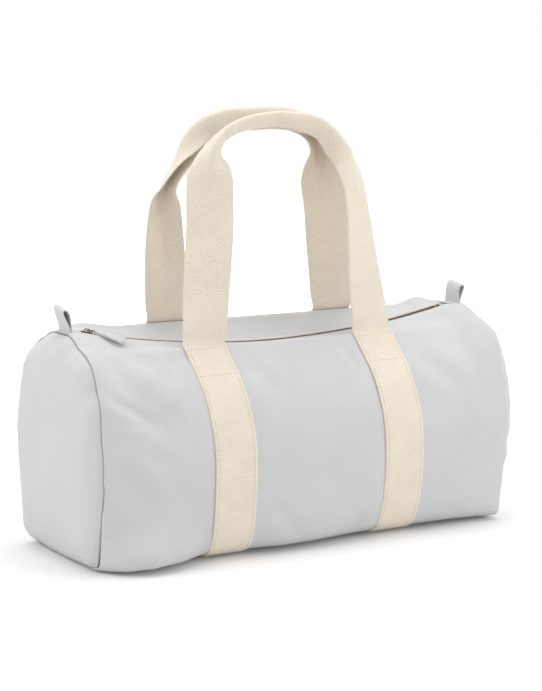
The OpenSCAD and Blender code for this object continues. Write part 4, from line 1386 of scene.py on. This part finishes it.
def object_of(name, bms, matrix):
    """One metal object from bmeshes in a local frame."""
    parts = []
    for i, bm in enumerate(bms):
        shade(bm, METAL_EDGE)
        mesh = bpy.data.meshes.new(f"{name}_{i}")
        bm.to_mesh(mesh)
        bm.free()
        parts.append(linked(f"{name}_{i}", mesh))
    obj = joined(name, parts)
    obj.data.transform(matrix)
    return obj


def make_slider(shape):
    """Two plates with turned edges, and a bridge for the puller's ring."""
    z = shape.zip
    plate_z = z.plate_height
    half_w = z.tooth_gap + z.tooth_length + z.clearance + z.flange
    half_l = z.slider_length / 2
    # Half of a plate's outline, from its narrow end to the end with two shoulders
    shares = ((-1.0, 0.30), (-0.86, 0.56), (-0.45, 0.74), (0.0, 0.84), (0.4, 0.97),
              (0.72, 1.0), (0.94, 0.88), (1.0, 0.66), (0.93, 0.34), (0.84, 0.0))
    upper = [(-half_l * a, half_w * b) for a, b in shares]
    outline = upper + [(x, -y) for x, y in reversed(upper[:-1])]
    bms = [plate(outline, plate_z, plate_z + z.plate, z.plate * 0.3),
           plate(outline, -plate_z - z.plate, -plate_z, z.plate * 0.3)]
    slot = z.tape_thickness / 2 + z.clearance
    back, front = -half_l * 0.8, half_l * 0.15
    for s in (-1, 1):
        for z0, z1 in ((slot, plate_z + z.plate / 2), (-plate_z - z.plate / 2, -slot)):
            y0, y1 = sorted((s * half_w, s * (half_w - z.flange)))
            side = [(back, y0), (front, y0), (front, y1), (back, y1)]
            bms.append(plate(side, z0, z1, z.flange * 0.25))
    # A wedge between the plates parts the teeth
    wedge, tip, narrow = z.tooth_gap - z.clearance, half_l * 0.1, 0.6
    bms.append(plate([(back, -wedge), (tip, -wedge * narrow), (tip, wedge * narrow),
                      (back, wedge)],
                     -plate_z - z.plate / 2, plate_z + z.plate / 2, wedge * 0.2))
    # The bridge arches over the ring
    top = plate_z + z.plate
    room = z.wire + z.ring_play
    arch = [(-2.2 * z.wire, top - 0.0003), (-1.9 * z.wire, top + room * 0.75),
            (-1.1 * z.wire, top + room + z.post / 2), (0, top + room + z.post * 0.62),
            (1.1 * z.wire, top + room + z.post / 2), (1.9 * z.wire, top + room * 0.75),
            (2.2 * z.wire, top - 0.0003)]
    line = curve(arch, np.linspace(0, len(arch) - 1, 25))
    verts = []
    half = z.bridge_width / 2
    for (x, zz), (dx, dz) in zip(line, unit(np.gradient(line, axis=0))):
        nx, nz = -dz, dx
        for k, y in ((-0.5, -half), (-0.5, half), (0.5, half), (0.5, -half)):
            verts.append((x + nx * k * z.post * 0.7, y, zz + nz * k * z.post * 0.7))
    bm = bmesh.new()
    made = [bm.verts.new(v) for v in verts]
    for f in capped_faces(len(line), 4):
        bm.faces.new([made[i] for i in f])
    bmesh.ops.recalc_face_normals(bm, faces=bm.faces)
    bms.append(bm)
    slider = object_of("zip_slider", bms, slider_matrix(shape))
    dressed(slider, "bronze", ("slider_body",))
    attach(slider, "slider")


def ring_matrix(shape):
    """The puller's frame: X from the ring's bridge end to its bar."""
    z = shape.zip
    lift = z.plate_height + z.plate + (z.wire + z.ring_play) / 2
    return (slider_matrix(shape) @ Matrix.Translation((0, 0, lift))
            @ Matrix.Rotation(-z.puller_yaw, 4, "Z") @ Matrix.Rotation(-z.ring_rise, 4, "Y"))


def make_puller(shape):
    """The wire ring with its cross bar, and the fabric puller on the bar."""
    z = shape.zip
    half, r = z.ring_width / 2, z.wire / 2
    # A round loop through the bridge, open towards the bar
    turns = np.radians(np.linspace(90, 270, 25))
    loop = [(z.ring_length, half, 0), (z.ring_length * 0.6, half, 0)] + [
        (half + half * math.cos(a), half * math.sin(a), 0) for a in turns] + [
        (z.ring_length * 0.6, -half, 0), (z.ring_length, -half, 0)]
    loop = np.array(loop)
    loop[:, 0] -= loop[:, 0].min()
    loop[:, 0] *= z.ring_length / loop[:, 0].max()
    fine = curve(loop, np.linspace(0, len(loop) - 1, 90))
    parts = [wire("loop", fine, r)]
    bar_half = half + z.bar_end
    stations = ((-1.0, 0.55), (-0.985, 0.85), (-0.95, 1.0), (-0.84, 1.0), (-0.82, 0.8),
                (0.82, 0.8), (0.84, 1.0), (0.95, 1.0), (0.985, 0.85), (1.0, 0.55))
    line = [(z.ring_length, bar_half * a, 0) for a, _ in stations]
    parts.append(wire("bar", line, [z.bar / 2 * b for _, b in stations], sides=18))
    ring = joined("puller_loop", parts)
    ring.data.transform(ring_matrix(shape))
    dressed(ring, "bronze", ("puller_ring",))
    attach(ring, "puller")
    make_fabric_puller(shape, half - r - z.clearance)


def rest_height(shape, x, y):
    """Height of the front top canvas under places x, y."""
    v = np.linspace(0, 2, 60)
    out = np.empty(len(x))
    for i, (px, py) in enumerate(zip(x, y)):
        yz = shape.top(px, -1, v)
        out[i] = np.interp(py, yz[:, 0], yz[:, 1])
    return out


# Shape of the fabric puller: points round and along it, how round its section is, its neck in
# metres, its rounded tip as a share of half its width, and where it may touch the canvas
PULLER_SIDES = 44
PULLER_RINGS = 46
PULLER_SQUARENESS = 0.32
NECK = 0.003
NECK_SLOPE = (0.002, 0.004)
TIP_SHARE = 0.6
TIP_POWER = 2.6
LYING_FROM = 0.35


def make_fabric_puller(shape, neck):
    """A folded strip with a raised fold along each edge, which lies on the canvas."""
    z = shape.zip
    half_w, thick, length = z.puller_width / 2, z.puller_thickness / 2, z.puller_length
    x = np.linspace(-thick, length, PULLER_RINGS)
    past_neck = smooth((x - NECK_SLOPE[0]) / NECK_SLOPE[1])
    wide = np.where(x < NECK, neck, lerp(neck, half_w, past_neck))
    tip = np.clip(1 - (length - x) / (half_w * TIP_SHARE), 0, 1)
    wide = wide * np.sqrt(np.maximum(1 - tip**TIP_POWER * 0.985, 0.0))
    high = thick * np.sqrt(np.clip(1 - (np.clip(-x, 0, thick) / thick) ** 2, 0.02, 1))
    high = high * lerp(1, 0.6, smooth((tip - 0.75) / 0.25))
    sides = PULLER_SIDES
    angle = np.linspace(0, 2 * math.pi, sides, endpoint=False)
    cross_y, cross_z = (np.sign(k) * np.abs(k) ** PULLER_SQUARENESS
                        for k in (np.cos(angle), np.sin(angle)))
    ridge = 1 - z.puller_valley * np.clip(1 - (np.abs(cross_y) / 0.72) ** 6, 0, 1)
    matrix, roll = ring_matrix(shape), z.puller_roll
    droop = z.puller_droop / length**2
    bar = (matrix @ Vector((z.ring_length, 0, 0))).z
    run = np.linspace(LYING_FROM, 1, 16) * length

    centre = Matrix.Translation((0, 0, shape.chain_centre_z))
    travel = float(shape.chain_angle(z.closed_x) + shape.chain_angle(z.open_x))
    opened = centre @ Matrix.Rotation(-travel, 4, "Y") @ centre.inverted()

    def clears(fall):
        """Whether the puller keeps off the canvas with the slider closed and open."""
        for edge in (-half_w, 0, half_w):
            line = [matrix @ Vector((z.ring_length + a, edge * math.cos(roll * a / length), 0))
                    for a in run]
            for a, point in zip(run, line):
                point.z = bar + fall * a - droop * a * a + edge * math.sin(roll * a / length)
            for place in (Matrix.Identity(4), opened):
                at = np.array([place @ point for point in line])
                rest = rest_height(shape, at[:, 0], at[:, 1])
                if (at[:, 2] < rest + thick + z.clearance).any():
                    return False
        return True

    # It droops a little, and is tilted down from its bar until it meets the canvas
    fall = next(slope for slope in np.arange(-0.5, 1, 0.02) if clears(slope))

    def laid(along, across, above):
        """Points of the puller, given from its bar, where it has come to lie."""
        turn = roll * np.clip(along / length, 0, 1)
        flat = np.array([matrix @ Vector((z.ring_length + a, c, 0)) for a, c in zip(
            along, across * np.cos(turn) - above * np.sin(turn))])
        flat[:, 2] = bar + fall * along - droop * along**2
        flat[:, 2] += above * np.cos(turn) + across * np.sin(turn)
        return flat

    along = np.repeat(x, sides)
    across = (wide[:, None] * cross_y).ravel()
    above = (high[:, None] * cross_z * ridge).ravel()
    uvs = np.column_stack([across + np.tile(cross_z, len(x)) * thick, along])
    tab = new_object("fabric_puller", laid(along, across, above),
                     capped_faces(len(x), sides), uvs, PULLER_EDGE)
    dressed(tab, "canvas", ("puller_tab",), "plain_canvas")
    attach(tab, "puller")
    a = np.linspace(z.puller_sewn_from, length - z.puller_sewn_to, 14)
    seam = [laid(a, np.full(len(a), s * half_w * 0.66), thick * (1 - z.puller_valley * 0.5))
            for s in (-1, 1)]
    rows = stitched("puller_stitches", seam, material("canvas_thread"))
    dressed(rows, "thread", finish="canvas_thread")
    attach(rows, "puller")


# Sewing

# How far a stitch's middle stands proud, in thicknesses of the thread, and the rows of canvas
# from its edge at the zip over which its direction is taken
PROUD = 0.15
STITCH_ROWS = 4


def make_strap_stitches(shape):
    """Rows across each strap under the handles, and along both of its edges."""
    w, sewing = shape.webbing, bpy.context.scene.bag_sewing
    lines = []
    for side in (-1, 1):
        middle, n = strap_grid(shape, side * w.strap_x, shape.body.gap + w.thickness)
        points = middle + n * sewing.thread * PROUD
        run = run_length(points[:, 0])
        for end in (0, 1):
            for depth in (sewing.first_row, sewing.second_row):
                at = depth if end == 0 else run[-1] - depth
                i = int(np.argmin(np.abs(run - at)))
                lines.append(points[i, 1:-1])
        sewn = (run > sewing.first_row) & (run < run[-1] - sewing.first_row)
        sewn &= points[:, 0, 2] > sewing.floor_room
        inset = sewing.edge_inset / (w.width / (w.columns - 1))
        for share in (inset, w.columns - 1 - inset):
            i = int(share)
            for keep in (sewn & (run < run[-1] / 2), sewn & (run > run[-1] / 2)):
                lines.append(lerp(points[keep, i], points[keep, i + 1], share - i))
    rows = stitched("strap_thread", lines, material("thread"))
    dressed(rows, "thread", ("strap_stitches",))
    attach(rows, "bag")


def make_lip_stitches(shape):
    """A row of stitching through the canvas along the zip."""
    sewing = bpy.context.scene.bag_sewing
    for name, side, half, start, middle, full in lip_halves(shape):
        p, n = shape.skin(columns(start, middle))
        edge = top_rows(side)[-1]
        inner = edge - side * STITCH_ROWS
        inward = unit(p[:, inner] - p[:, edge])
        line = p[:, edge] + inward * sewing.zip_inset + n[:, inner] * sewing.thread * PROUD
        rows = stitched(f"{name}_topstitch_{half}", [line], material("canvas_thread"))
        dressed(rows, "thread", finish="canvas_thread")
        along_lip(rows)


# Stage

def make_stage():
    s = bpy.context.scene.bag_stage
    scene = bpy.context.scene
    size = s.floor_size
    mesh = bpy.data.meshes.new("floor")
    mesh.from_pydata([(-size, -size, 0), (size, -size, 0), (size, size, 0), (-size, size, 0)],
                     [], [(0, 1, 2, 3)])
    floor = linked("floor", mesh)
    mat, tree, bsdf = new_material("floor_paper", s.floor_colour, 0.95, Specular_IOR_Level=0.0)
    ray = tree.nodes.new("ShaderNodeLightPath").outputs["Is Camera Ray"]
    away = add_node(tree, "ShaderNodeVectorMath", {0: object_place(tree)},
                    operation="LENGTH").outputs["Value"]
    far = add_node(tree, "ShaderNodeMapRange", {
        "Value": away, "From Min": s.shadow_reach, "From Max": s.shadow_reach * 3,
        "To Min": s.floor_glow, "To Max": 1.0}, interpolation_type="SMOOTHSTEP").outputs[0]
    glow = calc(tree, "MULTIPLY", ray, far)
    bsdf.inputs["Emission Color"].default_value = (1, 1, 1, 1)
    tree.links.new(glow, bsdf.inputs["Emission Strength"])
    mesh.materials.append(mat)

    world = bpy.data.worlds.new("studio")
    scene.world = world
    world.use_nodes = True
    tree = world.node_tree
    background = tree.nodes["Background"]
    path = tree.nodes.new("ShaderNodeLightPath")
    seen = calc(tree, "MAXIMUM", path.outputs["Is Camera Ray"], calc(
        tree, "MAXIMUM", path.outputs["Is Glossy Ray"], path.outputs["Is Transmission Ray"]))
    strength = calc(tree, "MULTIPLY_ADD", seen, 1 - s.ambient, s.ambient)
    background.inputs["Color"].default_value = (1, 1, 1, 1)
    tree.links.new(strength, background.inputs["Strength"])

    for name, place, size, power in (
            ("key", s.key_place, s.key_size, s.key_power),
            ("fill", s.fill_place, s.fill_size, s.fill_power),
            ("top", s.top_place, s.top_size, s.top_power)):
        light = bpy.data.lights.new(name, "AREA")
        light.shape = "DISK"
        light.size, light.energy = size, power
        lamp = linked(name, light)
        lamp.location = place
        aim = Vector((0, 0, s.aim_z)) - Vector(place)
        lamp.rotation_euler = aim.to_track_quat("-Z", "Y").to_euler()

    camera = bpy.data.cameras.new("camera")
    camera.lens, camera.sensor_width = s.lens, s.sensor
    camera.shift_x, camera.shift_y = s.shift_x, s.shift_y
    camera.clip_start, camera.clip_end = 0.01, 100
    eye = linked("camera", camera)
    back = Vector((math.sin(s.azimuth) * math.cos(s.elevation),
                   -math.cos(s.azimuth) * math.cos(s.elevation), math.sin(s.elevation)))
    eye.location = Vector((0, 0, s.aim_z)) + back * s.distance
    eye.rotation_euler = (-back).to_track_quat("-Z", "Y").to_euler()
    scene.camera = eye
    scene.view_settings.view_transform = "Standard"


# Sizes and colours

def size(label, text, value):
    return FloatProperty(name=label, description=text, default=value, unit="LENGTH",
                         precision=4, step=0.1)


def share(label, text, value):
    return FloatProperty(name=label, description=text, default=value)


def angle(label, text, degrees):
    return FloatProperty(name=label, description=text, default=math.radians(degrees),
                         unit="ROTATION")


def colour(label, text, value):
    return FloatVectorProperty(name=label, description=text, default=value, subtype="COLOR",
                               min=0, max=1)


def place(label, text, value):
    return FloatVectorProperty(name=label, description=text, default=value,
                               subtype="TRANSLATION", unit="LENGTH")


class BagBody(bpy.types.PropertyGroup):
    length: size("Length", "Between the two end seams", 0.5)
    height: size("Height", "At the end seams", 0.24)
    mid_half: size("Half depth", "Half the depth at the middle", 0.102)
    front_left_half: size("Front left", "Front half depth at the left end", 0.095)
    front_right_half: size("Front right", "Front half depth at the right end", 0.103)
    rear_half: size("Rear", "Rear half depth at both ends", 0.104)
    canvas_thickness: size("Canvas", "Thickness of the canvas", 0.0008)
    gap: size("Gap", "Between layers that lie on each other", 0.0002)
    end_bulge: size("End bulge", "How far an end panel bulges", 0.018)
    right_low_bulge: share("Low bulge", "Share of the bulge low on the right end", 0.45)
    top_crown: size("Top crown", "Rise of the top at the end seams", 0.0016)
    top_sag: size("Top sag", "Sag of the top between the handles", 0.001)
    fullness: size("Fullness", "How far the canvas bulges between the straps", 0.0028)
    lumps: size("Lumps", "Height of the canvas's unevenness", 0.0013)
    pucker: size("Puckers", "Height of the puckers along an end seam", 0.0009)
    pucker_reach: size("Pucker reach", "How far the puckers run from a seam", 0.012)
    base_sag: size("Base sag", "How far the base sags towards the floor", 0.0014)
    end_sag: size("End sag", "How much further it sags at the ends", 0.0005)
    seam_turn: size("Seam turn", "Width over which canvas turns into an end seam", 0.0014)
    seam_depth: size("Seam depth", "How deep an end seam lies between the panels", 0.0026)
    # Painted shade along each end seam: half the width of its line, and its brightness
    seam_line: size("Seam line", "Half the width of the shaded line in an end seam", 0.0005)
    seam_shade: share("Seam shade", "Brightness of that line", 0.58)
    end_crisp: share("Crisp ends", "How much sharper the base's corners are at the ends", 0.75)
    spread_height: size("Spread height", "How far up the spread of the base reaches", 0.042)
    seam_allowance: size("Seam allowance", "From an end seam to the tape inside it", 0.0025)
    binding_width: size("Binding", "Width of the tape inside an end seam", 0.011)
    binding_thickness: size("Binding thickness", "Thickness of that tape", 0.001)


class BagZip(bpy.types.PropertyGroup):
    low_z: size("Lowest", "Height of the chain at its lowest place", 0.213)
    climb: size("Climb", "From there to the closed slider", 0.023)
    closed_x: size("Closed", "From the middle to the closed slider", 0.222)
    open_x: size("Open", "From the middle to the open slider", 0.216)
    lip_left_x: size("Left end", "From the middle to the lips' left end", 0.178)
    lip_right_x: size("Right end", "From the middle to the lips' right end", 0.208)
    lip_reach: size("Lip reach", "How far a lip's end bends when it opens", 0.12)
    edge_y: size("Canvas edge", "From the zip's middle line to the canvas", 0.0045)
    edge_wide: size("Wide edge", "The same where the slider rests", 0.0051)
    edge_lift: size("Edge lift", "How far the canvas edges rise and fall", 0.0006)
    edge_near: size("Edge starts", "Where the canvas edges start to part", 0.165)
    edge_far: size("Edge ends", "Where they are wide apart", 0.19)
    seam_gap: size("Seam gap", "Between a tape and the canvas", 0.0001)
    flap_reach: size("Flap reach", "From the middle line to where an end flap is raised", 0.018)
    flap_ease: size("Flap ease", "Width of the slope beside it", 0.005)
    tape_width: size("Tape width", "Width of one tape", 0.013)
    tape_thickness: size("Tape thickness", "Thickness of a tape", 0.0005)
    tooth_pitch: size("Pitch", "From one tooth to the next in a row", 0.0024)
    tooth_length: size("Tooth length", "Across the tape", 0.0026)
    tooth_height: size("Tooth height", "Through the tape", 0.003)
    tooth_gap: size("Tooth gap", "From the middle line to a tooth", 0.0009)
    tooth_grip: size("Tooth grip", "How far a tooth reaches over its tape", 0.001)
    tooth_share: share("Tooth share", "Width of a tooth as a share of the pitch", 0.5)
    end_share: share("End share", "Where the tapes end, in slider lengths", 1.08)
    end_strip: size("End strip", "From the slider's middle to the strip of tape", 0.0065)
    slider_length: size("Slider length", "Length of the slider", 0.012)
    plate: size("Plate", "Thickness of the slider's plates", 0.0009)
    plate_height: size("Plate height", "From the chain to the inside of a plate", 0.0016)
    flange: size("Flange", "Thickness of the plates' turned edges", 0.0006)
    clearance: size("Clearance", "Between the slider and the chain", 0.0003)
    wire: size("Wire", "Thickness of the puller's loop", 0.0015)
    ring_play: size("Play", "Room for the loop under the bridge", 0.0007)
    post: size("Post", "Thickness of the bridge's posts", 0.0011)
    bridge_width: size("Bridge", "Width of the bridge", 0.0016)
    ring_length: size("Loop length", "From the bridge to the bar", 0.0068)
    ring_width: size("Loop width", "Across the loop", 0.009)
    bar: size("Bar", "Thickness of the cross bar", 0.002)
    bar_end: size("Bar end", "How far the bar stands past the loop", 0.001)
    puller_length: size("Puller length", "Length of the fabric puller", 0.0342)
    puller_width: size("Puller width", "Width of the fabric puller", 0.014)
    puller_thickness: size("Puller thickness", "Thickness of the fabric puller", 0.0036)
    puller_roll: angle("Puller roll", "How far the fabric puller's tip leans forwards", 34)
    puller_droop: size("Puller droop", "How far the fabric puller's tip droops", 0.0045)
    puller_sewn_from: size("Sewn from", "From the bar to the first stitch", 0.007)
    puller_sewn_to: size("Sewn to", "From the last stitch to the tip", 0.004)
    puller_valley: share("Puller valley", "Depth of its middle, as a share", 0.42)
    puller_yaw: angle("Puller yaw", "Turn of the resting puller to the front", 45)
    ring_rise: angle("Puller rise", "Slope of the resting puller", 9)


class BagWebbing(bpy.types.PropertyGroup):
    width: size("Width", "Width of the webbing", 0.05)
    thickness: size("Thickness", "Thickness of the webbing", 0.002)
    strap_x: size("Strap place", "From the middle to a strap's middle", 0.1055)
    front_height: size("Front height", "From the stitches to the front handle's top", 0.24)
    rear_height: size("Rear height", "From the stitches to the rear handle's top", 0.23)
    leg_height: size("Leg", "From the stitches to the place where a leg bends", 0.12)
    front_bend_x: size("Front bend", "Half the distance between the front bends", 0.092)
    rear_bend_x: size("Rear bend", "Half the distance between the rear bends", 0.099)
    top_y: size("Top place", "From the middle to a handle's top", 0.017)
    front_shift: size("Front shift", "Sideways shift of the front handle's top", -0.0025)
    rear_shift: size("Rear shift", "Sideways shift of the rear handle's top", -0.01)
    leg_mid_share: share("Leg middle", "Where a leg's own middle point lies", 0.48)
    fold_ease: share("Fold ease", "How gently the folds start and end", 0.45)
    strap_bow: size("Strap bow", "How far a strap runs out of line on the front", 0.004)
    ridge_radius: size("Ridge", "Radius of the folded ridge", 0.0032)
    foot_rows: IntProperty(name="Foot rows", description="Rows of a strap that a leg takes over",
                           default=2)
    foot_lift: size("Foot lift", "From the stitches to the leg's own shape", 0.02)
    hinge_reach: size("Hinge reach", "Webbing that bends over the stitches", 0.03)
    bend_reach: size("Bend reach", "Webbing that bends on each side of a leg's top", 0.02)
    split_share: share("Split", "Where a leg's webbing goes over to the grip's", 0.5)
    columns: IntProperty(name="Columns", description="Points across the webbing", default=25)
    row_step: size("Rows", "Distance between points along the webbing", 0.003)


class BagTabs(bpy.types.PropertyGroup):
    width: size("Width", "Width of a tab", 0.028)
    thickness: size("Thickness", "Thickness of a tab's canvas", 0.0014)
    gap: size("Gap", "Gap inside a tab's loop", 0.005)
    left_height: size("Left height", "Height of the left tab", 0.0258)
    right_height: size("Right height", "Height of the right tab", 0.023)
    taper: share("Taper", "How much narrower a tab's top is", 0.06)
    lean: size("Lean", "How far a tab's top leans outwards", 0.0055)
    shift: size("Shift", "How far a tab's foot lies towards its end", 0.0015)
    twist: size("Twist", "How far a tab's top is twisted", 0.001)
    slope: share("Slope", "How much a tab's top slopes", 0.12)


class BagSewing(bpy.types.PropertyGroup):
    pitch: size("Pitch", "From one stitch to the next", 0.0034)
    stitch: size("Stitch", "Length of a stitch", 0.0026)
    thread: size("Thread", "Thickness of the thread", 0.0007)
    first_row: size("First row", "From the fold to the first row", 0.004)
    second_row: size("Second row", "From the fold to the second row", 0.04)
    edge_inset: size("Edge", "From a strap's edge to its stitches", 0.003)
    zip_inset: size("Zip", "From the canvas edge to its stitches", 0.003)
    floor_room: size("Floor room", "Height over the floor at which stitches end", 0.006)


class BagWeave(bpy.types.PropertyGroup):
    canvas: size("Canvas", "Width of a thread of the canvas", 0.0009)
    tape: size("Tape", "Width of a thread of the tapes", 0.0005)
    column: size("Column", "Width of a column of the webbing", 0.0011)
    rib: size("Rib", "Height of a rib of the webbing", 0.0014)


class BagColours(bpy.types.PropertyGroup):
    canvas: colour("Canvas", "Colour of the canvas", (0.60, 0.602, 0.605))
    # Painted light: the end panels' copy of the canvas colour is a little lighter than the
    # barrel's
    end_canvas: colour("End canvas", "Colour of the end panels", (0.61, 0.613, 0.613))
    webbing: colour("Webbing", "Colour of the webbing's threads", (0.95, 0.882, 0.775))
    # Colour of the painted shade between the webbing's threads; its random flecks run towards it
    # too
    webbing_shade: colour("Webbing shade", "Colour between the threads", (0.44, 0.335, 0.20))
    thread: colour("Thread", "Colour of the straps' thread", (0.70, 0.60, 0.45))
    tape: colour("Tape", "Colour of the zip tape", (0.55, 0.56, 0.57))
    bronze: colour("Bronze", "Colour of the metal", (0.11, 0.064, 0.034))
    bronze_worn: colour("Worn bronze", "Colour of the metal where it is worn",
                        (0.33, 0.21, 0.105))


class BagStage(bpy.types.PropertyGroup):
    azimuth: angle("Azimuth", "Camera's direction round the bag", -30.9)
    elevation: angle("Elevation", "Camera's direction above the floor", 10.4)
    distance: size("Distance", "From the camera to its aim", 2.163)
    aim_z: size("Aim", "Height that the camera and the lamps aim at", 0.125)
    lens: share("Lens", "Focal length, in millimetres", 102.1)
    sensor: share("Sensor", "Width of the sensor, in millimetres", 36)
    shift_x: share("Shift X", "Sideways shift of the frame", 0.001)
    shift_y: share("Shift Y", "Upward shift of the frame", 0.1072)
    floor_size: size("Floor", "Half the width of the floor", 6)
    floor_colour: colour("Floor colour", "Colour of the floor", (0.86, 0.86, 0.86))
    floor_glow: share("Floor glow", "Light that the camera sees on the floor", 0.06)
    shadow_reach: size("Shadow reach", "How far from the middle the floor shows shadows", 0.5)
    ambient: share("Ambient", "Light from all around", 0.75)
    key_place: place("Key", "Place of the key lamp", (-2.0, 0.3, 1.5))
    key_size: size("Key size", "Width of the key lamp", 1.6)
    key_power: share("Key power", "Power of the key lamp, in watts", 15)
    fill_place: place("Fill", "Place of the fill lamp", (1.2, -1.1, 0.6))
    fill_size: size("Fill size", "Width of the fill lamp", 1.0)
    fill_power: share("Fill power", "Power of the fill lamp, in watts", 5.6)
    top_place: place("Top", "Place of the top lamp", (0.3, 0.2, 2.3))
    top_size: size("Top size", "Width of the top lamp", 2.0)
    top_power: share("Top power", "Power of the top lamp, in watts", 24)


SETTINGS = (("bag_body", BagBody), ("bag_zip", BagZip), ("bag_webbing", BagWebbing),
            ("bag_tabs", BagTabs), ("bag_sewing", BagSewing), ("bag_weave", BagWeave),
            ("bag_colours", BagColours), ("bag_stage", BagStage))


class BAG_OT_canvas(bpy.types.Operator):
    """Make the barrel, the end panels, the top and the tapes inside the seams"""
    bl_idname = "bag.canvas"
    bl_label = "Canvas"

    def execute(self, context):
        shape = Shape()
        make_barrel(shape)
        make_end(shape, -1, "left_end_canvas", "left_end_panel")
        make_end(shape, 1, "right_end_canvas", "right_end_panel")
        make_fixed_tops(shape)
        make_bindings(shape)
        return {"FINISHED"}


class BAG_OT_lips(bpy.types.Operator):
    """Make the canvas lips that open on each side of the zip"""
    bl_idname = "bag.lips"
    bl_label = "Lips"

    def execute(self, context):
        shape = Shape()
        make_lips(shape)
        make_lip_stitches(shape)
        return {"FINISHED"}


class BAG_OT_straps(bpy.types.Operator):
    """Make the girth straps and their stitching"""
    bl_idname = "bag.straps"
    bl_label = "Girth straps"

    def execute(self, context):
        shape = Shape()
        make_straps(shape)
        make_strap_stitches(shape)
        return {"FINISHED"}


class BAG_OT_handles(bpy.types.Operator):
    """Make the two folded webbing handles"""
    bl_idname = "bag.handles"
    bl_label = "Handles"

    def execute(self, context):
        shape = Shape()
        make_handle(shape, True)
        make_handle(shape, False)
        return {"FINISHED"}


class BAG_OT_tabs(bpy.types.Operator):
    """Make the loops at both ends of the zip"""
    bl_idname = "bag.tabs"
    bl_label = "End tabs"

    def execute(self, context):
        make_tabs()
        return {"FINISHED"}


class BAG_OT_zip(bpy.types.Operator):
    """Make the zip's tapes, teeth, slider and puller"""
    bl_idname = "bag.zip"
    bl_label = "Zip"

    def execute(self, context):
        shape = Shape()
        make_tapes(shape)
        make_teeth(shape)
        make_slider(shape)
        make_puller(shape)
        return {"FINISHED"}


class BAG_OT_stage(bpy.types.Operator):
    """Make the floor, the lights and the camera"""
    bl_idname = "bag.stage"
    bl_label = "Stage"

    def execute(self, context):
        make_stage()
        return {"FINISHED"}


OPERATORS = (BAG_OT_stage, BAG_OT_canvas, BAG_OT_lips, BAG_OT_straps, BAG_OT_handles,
             BAG_OT_tabs, BAG_OT_zip)


class BAG_PT_panel(bpy.types.Panel):
    """Sizes, colours and pieces of the bag"""
    bl_idname = "BAG_PT_panel"
    bl_label = "Barrel bag"
    bl_space_type = "VIEW_3D"
    bl_region_type = "UI"
    bl_category = "Bag"

    def draw(self, context):
        layout = self.layout
        for operator in OPERATORS:
            layout.operator(operator.bl_idname)
        for name, group in SETTINGS:
            box = layout.box()
            box.label(text=name.replace("bag_", "").capitalize())
            for key in group.__annotations__:
                box.prop(getattr(context.scene, name), key)


CLASSES = tuple(group for _, group in SETTINGS) + OPERATORS + (BAG_PT_panel,)


def register():
    for cls in CLASSES:
        bpy.utils.register_class(cls)
    for name, group in SETTINGS:
        setattr(bpy.types.Scene, name, PointerProperty(type=group))


def unregister():
    for name, _ in SETTINGS:
        delattr(bpy.types.Scene, name)
    for cls in reversed(CLASSES):
        bpy.utils.unregister_class(cls)


def main():
    register()
    for operator in OPERATORS:
        group, name = operator.bl_idname.split(".")
        getattr(getattr(bpy.ops, group), name)()


if __name__ == "__main__":
    main()
